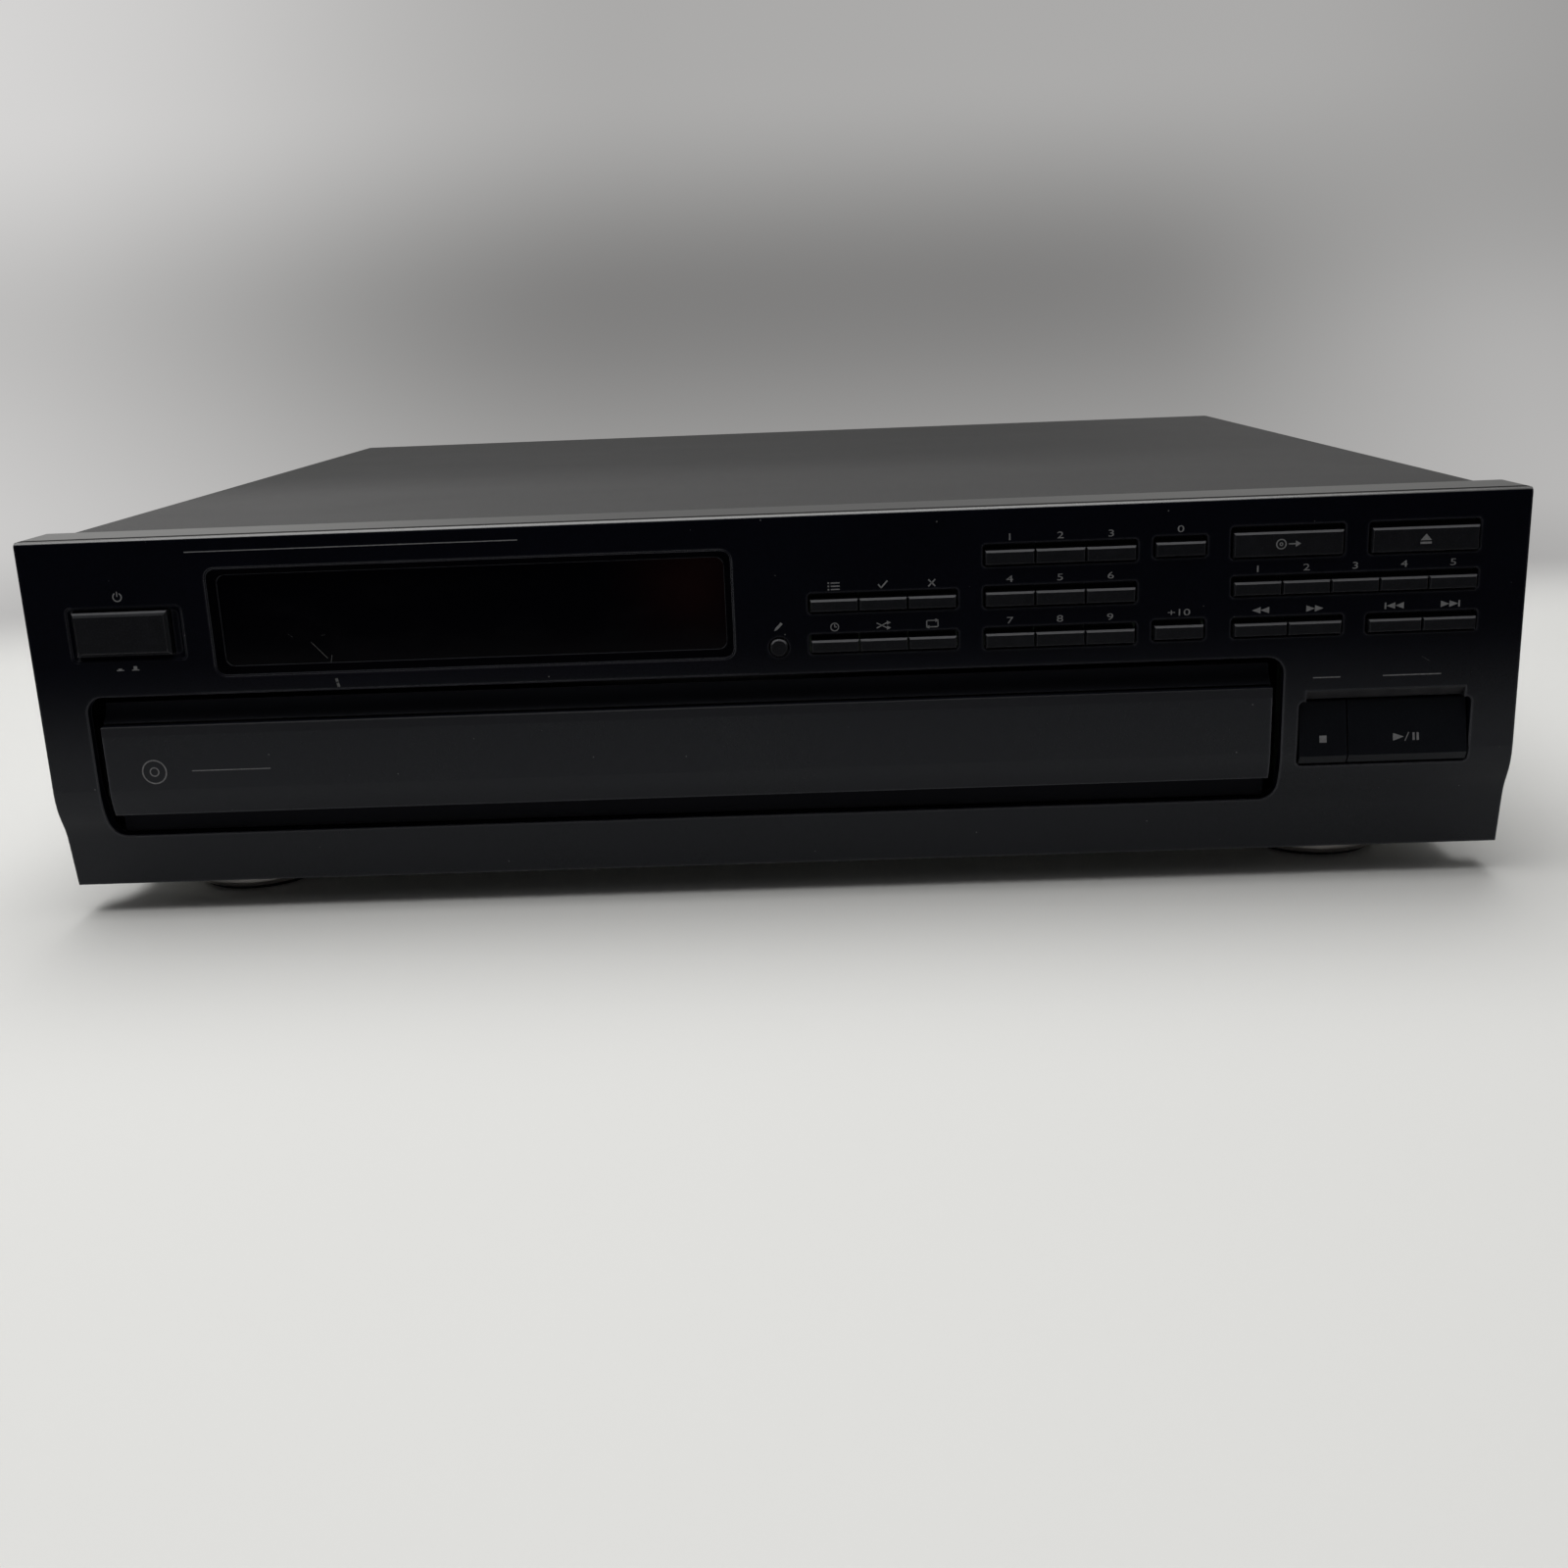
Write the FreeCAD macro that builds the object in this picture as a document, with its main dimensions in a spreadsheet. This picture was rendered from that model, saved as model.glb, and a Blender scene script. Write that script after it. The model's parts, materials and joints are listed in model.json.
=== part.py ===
import FreeCAD, Part

import math
import os

import Sketcher
from FreeCAD import Placement, Rotation, Vector

# A five-disc carousel CD changer of full hi-fi width.
# Millimetres. +X is right seen from the front, +Y runs back, +Z is up.
# The origin is under the middle of the object, on the surface that it stands on.
# Most places are given as a distance behind the front face and a height above the panel's lower edge.

doc = FreeCAD.newDocument("DiscChanger")
sheet = doc.addObject("Spreadsheet::Sheet", "Sizes")
nodes = {}


# ---------------------------------------------------------------- driving dimensions

SIZES = (
    ("overall_depth", 384, "front of the power key to the end of the sockets"),
    ("panel_width", 440, "front panel, side to side"),
    ("panel_height", 108, "front panel, without the feet"),
    ("panel_depth", 22.75, "top and side returns of the front panel"),
    ("panel_wall", 3, "front wall of the moulded panel"),
    ("panel_skin", 2.5, "its top, bottom and side returns"),
    ("panel_lip", 1.5, "round along the panel's top front edge"),
    ("lip_line", 0.5, "fine groove behind that edge"),
    ("foot_height", 10, "panel's lower edge above the table"),
    ("key_proud", 1.5, "power key in front of the face"),
    ("small_proud", 1.2, "small keys in front of the face"),
    ("sweep_top", 32, "height where the lower sweep leaves the face"),
    ("sweep_bend", 21.6, "height where the sweep is steepest"),
    ("sweep_bend_back", 2.6, "how far it stands back there"),
    ("sweep_foot", 14.6, "height where the sweep ends"),
    ("sweep_back", 4.9, "how far it stands back there"),
    ("lower_back", 7.1, "how far the lower edge stands back"),
    ("cover_width", 428, "folded cover, side to side"),
    ("cover_end", 372, "back edge of the cover behind the face"),
    ("cover_gap", 2, "cover's lower edge above the chassis floor's underside"),
    ("cover_bend", 3, "outside bend of the cover"),
    ("sheet_gauge", 1, "steel sheet of the cover and rear panel"),
    ("pan_gauge", 1.2, "steel sheet of the chassis pan"),
    ("mouth_left", -205.7, "drawer opening"),
    ("mouth_right", 151.4, "drawer opening"),
    ("mouth_sill", 16.4, "drawer opening, lower edge"),
    ("mouth_head", 61, "drawer opening, upper edge"),
    ("mouth_corner", 5, "drawer opening, corner round"),
    ("door_left", -202.5, "drawer front"),
    ("door_right", 148.3, "drawer front"),
    ("door_foot", 23.8, "drawer front, lower edge"),
    ("door_head", 51.85, "drawer front, upper edge of the flush face"),
    ("cove_head", 58.2, "upper edge of the set-back band above it"),
    ("band_foot", 17.1, "lower edge of the set-back band below it"),
    ("band_back", 7.4, "how far that lower band stands back"),
    ("window_left", -165, "display recess"),
    ("window_right", -10.2, "display recess"),
    ("window_foot", 66.5, "display recess"),
    ("window_head", 98.5, "display recess"),
    ("window_slope", 2.4, "width of the recess's sloped sides"),
    ("window_corner", 4, "corner round of the recess"),
    ("power_left", -205.8, "power key"),
    ("power_right", -177.3, "power key"),
    ("power_foot", 73.7, "power key"),
    ("power_head", 86.8, "power key"),
    ("power_travel", 3, "latching push"),
    ("edit_across", 2.9, "middle of the round edit key"),
    ("edit_up", 69.2, "middle of the round edit key"),
    ("edit_radius", 2.6, "round edit key"),
    ("deck_left", 156.9, "stop and play keys"),
    ("deck_split", 171.2, "line between the stop and play keys"),
    ("deck_right", 206.3, "stop and play keys"),
    ("deck_foot", 28.2, "stop and play keys"),
    ("deck_head", 46.7, "stop and play keys"),
    ("deck_lean", 3.6, "how far their upper edge leans in"),
    ("scoop_head", 50.5, "finger scoop above them"),
    ("key_travel", 0.8, "press of a small key"),
    ("key_gap", 0.4, "gap between neighbouring keys"),
    ("slot_side", 0.6, "slot beside a row of keys"),
    ("slot_top", 1.7, "slot above a row of keys"),
    ("slot_foot", 0.5, "slot below a row of keys"),
    ("board_back", 17, "control board's front face"),
    ("carousel_across", -27, "carousel's axis"),
    ("carousel_back", 185, "carousel's axis"),
    ("carousel_radius", 166, "rim of the carousel"),
    ("carousel_top", 58, "top of the carousel above the table"),
    ("carousel_plate", 5.2, "height of the carousel's rim"),
    ("disc_radius", 60.6, "recess for a 120 mm disc"),
    ("disc_pitch", 104.2, "carousel's axis to a disc's middle"),
    ("disc_recess", 2.6, "depth of a disc recess"),
    ("small_disc_radius", 40.6, "recess for an 80 mm disc"),
    ("disc_hole", 20, "hole for the turntable"),
    ("slot_half", 9, "half width of the pickup's slot"),
    ("gear_module", 1.25, "all gears"),
    ("ring_teeth", 60, "ring gear under the carousel"),
    ("pinion_teeth", 15, "carousel pinion"),
    ("loading_teeth", 20, "loading gear"),
    ("gear_slack", 0.25, "play left between teeth"),
    ("tray_left", -200, "disc tray"),
    ("tray_right", 146, "disc tray"),
    ("tray_front_back", 10.2, "front wall of the tray behind the face"),
    ("tray_end", 356, "back of the tray behind the face"),
    ("tray_floor", 34, "underside of the tray's floor"),
    ("tray_deck", 59.5, "top of the tray's deck"),
    ("tray_wall", 2.2, "walls of the moulded tray"),
    ("tray_travel", 200, "how far the tray slides out"),
    ("slot_width", 94, "slot in the tray over the lifter"),
    ("slot_start", 214, "front end of that slot"),
    ("hinge_back", 361, "lifter's hinge behind the face"),
    ("hinge_up", 40, "lifter's hinge above the table"),
    ("lift_angle", 7, "swing of the lifter"),
    ("slider_travel", 30, "travel of the lift slider"),
    ("turntable_top", 57.6, "turntable when raised"),
    ("turntable_radius", 17, "turntable"),
    ("pickup_inner", 25, "lens to spindle at the innermost track"),
    ("pickup_travel", 33, "travel of the pickup"),
    ("foot_radius", 22, "foot"),
    ("foot_across", 175, "middle of a foot from the centre line"),
    ("foot_back", 47, "front feet behind the face"),
    ("rear_foot_back", 325, "rear feet behind the face"),
)

# One row of keys: sheet name, key names, left, right, middle height, key height
KEY_ROWS = (
    ("program", ("program_mode_key", "check_key", "clear_key"), 12.5, 55.1, 81.2, 3.6),
    ("display", ("time_display_key", "random_key", "repeat_key"), 12.5, 55.1, 69.15, 3.6),
    ("low_numbers", ("number_1_key", "number_2_key", "number_3_key"), 63.7, 107.2, 93.45, 4.2),
    ("mid_numbers", ("number_4_key", "number_5_key", "number_6_key"), 63.7, 107.2, 81.25, 4.2),
    ("high_numbers", ("number_7_key", "number_8_key", "number_9_key"), 63.7, 107.2, 69.05, 4.2),
    ("zero", ("number_0_key",), 112.9, 127.2, 94.0, 4.1),
    ("plus_ten", ("plus_ten_key",), 112.9, 127.2, 69.65, 4.1),
    ("skip_disc", ("disc_skip_key",), 135.2, 166.6, 94.45, 7.1),
    ("open_close", ("open_close_key",), 174.8, 205.3, 94.45, 7.1),
    ("discs", tuple(f"disc_{number}_key" for number in range(1, 6)), 135.7, 205.5, 81.7, 3.9),
    ("search", ("search_back_key", "search_forward_key"), 136.1, 167.2, 69.55, 3.8),
    ("track", ("skip_back_key", "skip_forward_key"), 175.1, 206.0, 69.55, 3.8),
)


class Size:
    """A dimension that knows its value and the sheet expression that it comes from."""

    def __init__(self, value, text):
        self.value = value
        self.text = text

    def __add__(self, other):
        other = as_size(other)
        return Size(self.value + other.value, f"({self.text} + {other.text})")

    def __sub__(self, other):
        other = as_size(other)
        return Size(self.value - other.value, f"({self.text} - {other.text})")

    def __rsub__(self, other):
        return as_size(other) - self

    def __mul__(self, other):
        other = as_size(other)
        return Size(self.value * other.value, f"({self.text} * {other.text})")

    def __truediv__(self, other):
        other = as_size(other)
        return Size(self.value / other.value, f"({self.text} / {other.text})")

    def __neg__(self):
        return as_size(0) - self

    __radd__ = __add__
    __rmul__ = __mul__


def as_size(amount):
    if isinstance(amount, Size):
        return amount
    return Size(float(amount), f"{float(amount):.6g}")


class Sheet:
    """Reads a cell of the spreadsheet by its alias, as a Size."""

    def __init__(self):
        self.row = 0

    def add(self, alias, amount, note):
        self.row += 1
        sheet.set(f"A{self.row}", note)
        sheet.set(f"B{self.row}", f"{amount}")
        sheet.setAlias(f"B{self.row}", alias)

    def __getattr__(self, alias):
        return Size(float(sheet.get(alias)), f"Sizes.{alias}")


cell = Sheet()
for alias, amount, note in SIZES:
    cell.add(alias, amount, note)
for row_name, labels, left, right, middle, tall in KEY_ROWS:
    cell.add(f"{row_name}_left", left, f"{row_name} keys, left end")
    cell.add(f"{row_name}_right", right, f"{row_name} keys, right end")
    cell.add(f"{row_name}_middle", middle, f"{row_name} keys, middle height")
    cell.add(f"{row_name}_tall", tall, f"{row_name} keys, height of one key")
doc.recompute()

FACE = cell.key_proud - cell.overall_depth / 2
CENTRE = (cell.carousel_across, FACE + cell.carousel_back)
SPINDLE = (CENTRE[0], CENTRE[1] + cell.disc_pitch)
SWEEP_RISE = cell.sweep_top - cell.sweep_bend
SWEEP_RADIUS = (cell.sweep_bend_back * cell.sweep_bend_back + SWEEP_RISE * SWEEP_RISE) / (2 * cell.sweep_bend_back)
TOP = cell.foot_height + cell.panel_height
PAN_TOP = cell.foot_height + cell.pan_gauge
RING_RADIUS = cell.gear_module * cell.ring_teeth / 2
PINION_RADIUS = cell.gear_module * cell.pinion_teeth / 2
LOADING_RADIUS = cell.gear_module * cell.loading_teeth / 2
PINION_BEARING = -45.0
FIT = 0.05


def back(distance):
    """A place behind the front face."""
    return FACE + distance


def up(height):
    """A height above the panel's lower edge."""
    return cell.foot_height + height


# ---------------------------------------------------------------- construction helpers

def bind(piece, name, amount):
    piece.setExpression(name, as_size(amount).text)


def move(piece, x, y, z):
    for axis, amount in zip("xyz", (x, y, z)):
        bind(piece, f"Placement.Base.{axis}", amount)


def span(name, x, y, z):
    """A box between two limits along each axis."""
    piece = doc.addObject("Part::Box", name)
    for side, (low, high) in zip(("Length", "Width", "Height"), (x, y, z)):
        bind(piece, side, as_size(high) - low)
    move(piece, x[0], y[0], z[0])
    return piece


def rod(name, radius, x, y, z, length, axis="z"):
    """A cylinder that starts at a point and runs along an axis."""
    turns = {"x": Rotation(Vector(0, 1, 0), 90), "y": Rotation(Vector(1, 0, 0), -90), "z": Rotation()}
    piece = doc.addObject("Part::Cylinder", name)
    piece.Placement = Placement(Vector(), turns[axis])
    bind(piece, "Radius", radius)
    bind(piece, "Height", length)
    move(piece, x, y, z)
    return piece


def tube(name, outer, inner, x, y, z, length, axis="z"):
    shell = rod(f"{name}_outside", outer, x, y, z, length, axis)
    bore = rod(f"{name}_bore", inner, x, y, z, length, axis)
    return take(name, shell, bore)


def bevel_block(name, x, y, z, bevel, top_bevel):
    """A block whose front edges are bevelled: it narrows towards its front face."""
    piece = doc.addObject("Part::Wedge", name)
    low_x, high_x = as_size(x[0]), as_size(x[1])
    low_z, high_z = as_size(z[0]), as_size(z[1])
    limits = {
        "Xmin": bevel, "Xmax": high_x - low_x - bevel,
        "Zmin": bevel, "Zmax": high_z - low_z - top_bevel,
        "X2min": 0, "X2max": high_x - low_x,
        "Z2min": 0, "Z2max": high_z - low_z,
        "Ymin": 0, "Ymax": as_size(y[1]) - y[0],
    }
    for limit, amount in limits.items():
        bind(piece, limit, amount)
    move(piece, low_x, y[0], low_z)
    return piece


def join(name, pieces):
    piece = doc.addObject("Part::MultiFuse", name)
    piece.Shapes = pieces
    piece.Refine = True
    return piece


def gather(name, pieces):
    """Separate solids of one kind, kept in one node."""
    piece = doc.addObject("Part::Compound", name)
    piece.Links = pieces
    return piece


def take(name, base, *tools):
    piece = doc.addObject("Part::Cut", name)
    piece.Base = base
    piece.Tool = tools[0] if len(tools) == 1 else join(f"{name}_tools", list(tools))
    piece.Refine = True
    return piece


def shared(name, first, second):
    piece = doc.addObject("Part::Common", name)
    piece.Base = first
    piece.Tool = second
    return piece


def edges_where(piece, test):
    """Numbers of the edges whose two ends and middle all pass a test."""
    doc.recompute()
    found = []
    for number, edge in enumerate(piece.Shape.Edges, 1):
        middle = edge.valueAt((edge.FirstParameter + edge.LastParameter) / 2)
        if all(test(point) for point in [vertex.Point for vertex in edge.Vertexes] + [middle]):
            found.append(number)
    return found


def rounded(name, piece, radius, test):
    done = doc.addObject("Part::Fillet", name)
    done.Base = piece
    done.Edges = [(number, radius, radius) for number in edges_where(piece, test)]
    return done


def chamfered(name, piece, size, test):
    done = doc.addObject("Part::Chamfer", name)
    done.Base = piece
    done.Edges = [(number, size, size) for number in edges_where(piece, test)]
    return done


def along(piece, axis):
    """A test for edges of a box-like piece that run along one axis."""
    doc.recompute()
    box = piece.Shape.BoundBox
    limits = {"x": (box.XMin, box.XMax), "y": (box.YMin, box.YMax), "z": (box.ZMin, box.ZMax)}
    others = [name for name in "xyz" if name != axis]

    def test(point):
        return all(min(abs(getattr(point, n) - limit) for limit in limits[n]) < 1e-4 for n in others)

    return test


def round_bar(name, x, y, z, radius, axis="y"):
    """A box whose edges along one axis are rounded."""
    bar = span(f"{name}_bar", x, y, z)
    return rounded(name, bar, radius, along(bar, axis))


def body_sketch(body, role, offset, name):
    """A sketch on one of the body's own origin planes."""
    sketch = body.newObject("Sketcher::SketchObject", name)
    plane = next(plane for plane in body.Origin.OriginFeatures if plane.Role == role)
    sketch.AttachmentSupport = [(plane, "")]
    sketch.MapMode = "FlatFace"
    bind(sketch, "AttachmentOffset.Base.z", offset)
    return sketch


def arc_between(start, end, radius):
    """The short arc from start to end; a positive radius turns left."""
    chord = end - start
    height = math.sqrt(max(radius * radius - chord.Length ** 2 / 4, 0))
    left = Vector(-chord.y, chord.x, 0).normalize()
    centre = (start + end) / 2 + left * math.copysign(height, radius)
    ends = (start, end) if radius > 0 else (end, start)
    angles = [math.atan2(point.y - centre.y, point.x - centre.x) for point in ends]
    return Part.ArcOfCircle(Part.Circle(centre, Vector(0, 0, 1), abs(radius)), *angles)


def hold(sketch, kind, target, amount, name):
    """A dimension of the sketch, bound to the sheet."""
    amount = as_size(amount)
    number = sketch.addConstraint(Sketcher.Constraint(kind, *target, amount.value))
    sketch.renameConstraint(number, name)
    sketch.setExpression(f"Constraints.{name}", amount.text)


def draw_outline(sketch, corners, prefix="p"):
    """A closed outline. Each corner is (x, y), or (x, y, radius) where an arc leads to it."""
    points = [Vector(as_size(c[0]).value, as_size(c[1]).value, 0) for c in corners]
    sides = []
    for number, corner in enumerate(corners):
        start, end = points[number - 1], points[number]
        if len(corner) == 2:
            side = sketch.addGeometry(Part.LineSegment(start, end), False)
            sides.append((side, 1, 2))
            continue
        side = sketch.addGeometry(arc_between(start, end, as_size(corner[2]).value), False)
        sides.append((side, 1, 2) if as_size(corner[2]).value > 0 else (side, 2, 1))
    for number, (side, first, last) in enumerate(sides):
        before = sides[number - 1]
        sketch.addConstraint(Sketcher.Constraint("Coincident", before[0], before[2], side, first))
    for number, (side, first, last) in enumerate(sides):
        hold(sketch, "DistanceX", (-1, 1, side, last), corners[number][0], f"{prefix}{number}_x")
        hold(sketch, "DistanceY", (-1, 1, side, last), corners[number][1], f"{prefix}{number}_y")
        if len(corners[number]) == 3:
            radius = as_size(corners[number][2])
            radius = radius if radius.value > 0 else -radius
            hold(sketch, "Radius", (side,), radius, f"{prefix}{number}_radius")


def draw_circle(sketch, x, y, radius, prefix="c"):
    centre = Vector(as_size(x).value, as_size(y).value, 0)
    circle = Part.Circle(centre, Vector(0, 0, 1), as_size(radius).value)
    side = sketch.addGeometry(circle, False)
    hold(sketch, "DistanceX", (-1, 1, side, 3), x, f"{prefix}_x")
    hold(sketch, "DistanceY", (-1, 1, side, 3), y, f"{prefix}_y")
    hold(sketch, "Radius", (side,), radius, f"{prefix}_radius")


def padded(name, role, offset, corners, length):
    """A body: one outline on an origin plane, padded along the plane's normal."""
    body = doc.addObject("PartDesign::Body", name)
    sketch = body_sketch(body, role, offset, f"{name}_outline")
    draw_outline(sketch, corners)
    pad = body.newObject("PartDesign::Pad", f"{name}_pad")
    pad.Profile = sketch
    bind(pad, "Length", length)
    sketch.Visibility = False
    doc.recompute()
    return body


def pocketed(body, name, role, offset, draw, length, reverse):
    """Cuts a sketch out of a body and makes sure that it took material away."""
    doc.recompute()
    before = body.Shape.Volume
    sketch = body_sketch(body, role, offset, f"{name}_sketch")
    draw(sketch)
    pocket = body.newObject("PartDesign::Pocket", name)
    pocket.Profile = sketch
    pocket.Reversed = reverse
    bind(pocket, "Length", length)
    doc.recompute()
    if body.Shape.Volume > before - 1:
        raise RuntimeError(f"{name} cuts nothing")
    return pocket


def turned(name, corners, x, y, z):
    """A body turned round a vertical axis: corners are (radius, height)."""
    body = doc.addObject("PartDesign::Body", name)
    sketch = body_sketch(body, "XZ_Plane", 0, f"{name}_profile")
    draw_outline(sketch, corners)
    turn = body.newObject("PartDesign::Revolution", f"{name}_turn")
    turn.Profile = sketch
    turn.ReferenceAxis = (sketch, ["V_Axis"])
    turn.Angle = 360
    move(body, x, y, z)
    doc.recompute()
    return body


def shaped(name, shape):
    piece = doc.addObject("Part::Feature", name)
    piece.Shape = shape
    return piece


def keep(name, piece):
    """Registers the finished sub-part under its node name."""
    piece.Label = name
    nodes[name] = piece
    return piece


# ---------------------------------------------------------------- teeth

ROOT_MARGIN = 0.1


def tooth_half_angle(radius, teeth, module, slack):
    """Half the angle that an involute tooth covers at a radius, thinned by its share of the play."""
    pressure = math.radians(20)
    pitch_radius = module * teeth / 2
    base_radius = pitch_radius * math.cos(pressure)
    half_at_pitch = math.pi / (2 * teeth) - slack / (2 * pitch_radius)
    lean = math.acos(min(base_radius / radius, 1))
    return half_at_pitch + (math.tan(pressure) - pressure) - (math.tan(lean) - lean)


def gear_face(teeth, first_tooth=0.0, steps=2):
    """The outline of a gear as a face round the origin; first_tooth is a tooth's bearing in degrees."""
    module = cell.gear_module.value
    slack = cell.gear_slack.value
    pitch_radius = module * teeth / 2
    root = pitch_radius - 1.25 * module
    tip = pitch_radius + 0.9 * module
    flank = max(root + ROOT_MARGIN, pitch_radius * math.cos(math.radians(20)))
    radii = [flank + (tip - flank) * step / steps for step in range(steps + 1)]
    if flank - root > 2 * ROOT_MARGIN:
        radii.insert(0, root)
    corners = []
    for number in range(teeth):
        middle = math.radians(first_tooth) + 2 * math.pi * number / teeth
        halves = [tooth_half_angle(max(r, flank), teeth, module, slack) for r in radii]
        rising = [(r, middle - half) for r, half in zip(radii, halves)]
        falling = [(r, middle + half) for r, half in zip(radii, halves)][::-1]
        corners += [Vector(r * math.cos(a), r * math.sin(a), 0) for r, a in rising + falling]
    return Part.Face(Part.makePolygon(corners + corners[:1]))


def gear_wheel(name, teeth, first_tooth, height, x, y, z, bore=None, steps=2):
    """A spur wheel standing on z."""
    wheel = gear_face(teeth, first_tooth, steps).extrude(Vector(0, 0, height))
    if bore:
        wheel = wheel.cut(Part.makeCylinder(bore, height + 2, Vector(0, 0, -1)))
    piece = shaped(name, wheel)
    move(piece, x, y, z)
    return piece


def rack_bar(name, length, width, height, first_gap, x, y, z):
    """A straight rack along +Y with teeth facing +X; x is its pitch line."""
    module = cell.gear_module.value
    slack = cell.gear_slack.value
    pitch = math.pi * module
    slope = math.tan(math.radians(20))
    tip, root = 0.9 * module, -1.25 * module
    corners = [Vector(root - width, 0, 0), Vector(root, 0, 0)]
    centre = first_gap + pitch / 2
    while centre + pitch / 2 < length:
        halves = [pitch / 4 - slack / 2 - slope * reach for reach in (root, tip)]
        for reach, half in ((root, -halves[0]), (tip, -halves[1]), (tip, halves[1]), (root, halves[0])):
            corners.append(Vector(reach, centre + half, 0))
        centre += pitch
    corners += [Vector(root, length, 0), Vector(root - width, length, 0)]
    face = Part.Face(Part.makePolygon(corners + corners[:1]))
    piece = shaped(name, face.extrude(Vector(0, 0, height)))
    move(piece, x, y, z)
    return piece


# ---------------------------------------------------------------- keys

def key_edges(row_name, count, number):
    """Left and right edge of one key in a row of equal keys."""
    left, right = getattr(cell, f"{row_name}_left"), getattr(cell, f"{row_name}_right")
    step = (right - left + cell.key_gap) / count
    return left + step * number, left + step * (number + 1) - cell.key_gap


def row_heights(row_name):
    middle, tall = getattr(cell, f"{row_name}_middle"), getattr(cell, f"{row_name}_tall")
    return up(middle - tall / 2), up(middle + tall / 2)


def key_stem(name, x, z, start):
    """A square stem that ends just short of its switch."""
    half = 0.8
    return span(f"{name}_stem", (x - half, x + half), (start, back(11.4)), (z - half, z + half))


def small_key(name, x, z):
    """A bevelled cap, a flange behind the panel that keeps it in, and a stem."""
    front = back(-cell.small_proud)
    cap = bevel_block(f"{name}_cap", x, (front, front + 0.5), z, 0.3, 0.6)
    stock = span(f"{name}_stock", x, (front + 0.5, back(cell.panel_wall + 0.4)), z)
    flange_z = (z[0] - 1.2, z[1] + 2.3)
    flange = span(f"{name}_flange", x, (back(cell.panel_wall + 0.3), back(cell.panel_wall + 1.3)), flange_z)
    stem = key_stem(name, (x[0] + x[1]) / 2, (z[0] + z[1]) / 2, back(cell.panel_wall + 1.3))
    keep(name, join(name, [cap, stock, flange, stem]))


def make_key_rows():
    for row_name, labels, *rest in KEY_ROWS:
        for number, name in enumerate(labels):
            small_key(name, key_edges(row_name, len(labels), number), row_heights(row_name))


def make_power_button():
    x = (cell.power_left, cell.power_right)
    z = (up(cell.power_foot), up(cell.power_head))
    front = back(-cell.key_proud)
    cap = bevel_block("power_cap", x, (front, front + 1), z, 0.9, 1.2)
    stock = span("power_stock", x, (front + 1, back(7)), z)
    hollow = span("power_hollow", (x[0] + 1.5, x[1] - 1.5), (back(1.5), back(7)), (z[0] + 1.5, z[1] - 1.5))
    shell = take("power_shell", join("power_block", [cap, stock]), hollow)
    middle = ((x[0] + x[1]) / 2, (z[0] + z[1]) / 2)
    flange = span("power_flange", (x[0] - 1.5, x[1] + 1.5), (back(6), back(7)), (z[0] - 1.5, z[1] + 1.5))
    opening = span("power_flange_hole", (x[0] + 1.5, x[1] - 1.5), (back(5), back(8)), (z[0] + 1.5, z[1] - 1.5))
    rim = take("power_rim", flange, opening)
    stem = rod("power_stem", 2, middle[0], back(1.4), middle[1], 10, "y")
    keep("power_button", join("power_button", [shell, rim, stem]))


def make_edit_button():
    x, z, radius = cell.edit_across, up(cell.edit_up), cell.edit_radius
    front = back(-cell.small_proud)
    cap = rod("edit_cap", radius, x, front, z, cell.panel_wall + cell.small_proud + 0.4, "y")
    cap = chamfered("edit_cap_edge", cap, 0.4, lambda p: abs(p.y - front.value) < 1e-4)
    flange = rod("edit_flange", radius + 1.2, x, back(cell.panel_wall + 0.3), z, 1, "y")
    stem = key_stem("edit_button", x, z, back(cell.panel_wall + 1.3))
    keep("edit_button", join("edit_button", [cap, flange, stem]))


def deck_profile(depth):
    """Side view of a stop or play key: a lower bevel, then a face that leans in towards the top."""
    foot, head = up(cell.deck_foot), up(cell.deck_head)
    return (
        (back(0.7), foot),
        (back(-0.6), foot + 2.4),
        (back(cell.deck_lean - 0.3), head - 0.3),
        (back(cell.deck_lean), head),
        (back(depth), head),
        (back(depth), foot),
    )


def make_deck_keys():
    """The stop and play keys."""
    half = cell.key_gap / 2
    limits = {
        "stop_key": (cell.deck_left, cell.deck_split - half),
        "play_pause_key": (cell.deck_split + half, cell.deck_right),
    }
    for name, (left, right) in limits.items():
        cap = padded(f"{name}_cap", "YZ_Plane", left, deck_profile(8), right - left)
        z = (up(cell.deck_foot - 1.4), up(cell.deck_head + 1.4))
        flange = span(f"{name}_flange", (left, right), (back(7.3), back(8.3)), z)
        stem = key_stem(name, (left + right) / 2, up((cell.deck_foot + cell.deck_head) / 2), back(8.3))
        keep(name, join(name, [cap, flange, stem]))


# ---------------------------------------------------------------- front panel

def sweep_point(height):
    """How far the swept face stands back at a height within its upper arc."""
    drop = cell.sweep_top - height
    reach = SWEEP_RADIUS.value ** 2 - drop.value ** 2
    text = f"({SWEEP_RADIUS.text} - sqrt({SWEEP_RADIUS.text}^2 - {drop.text}^2))"
    return Size(SWEEP_RADIUS.value - math.sqrt(reach), text)


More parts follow.
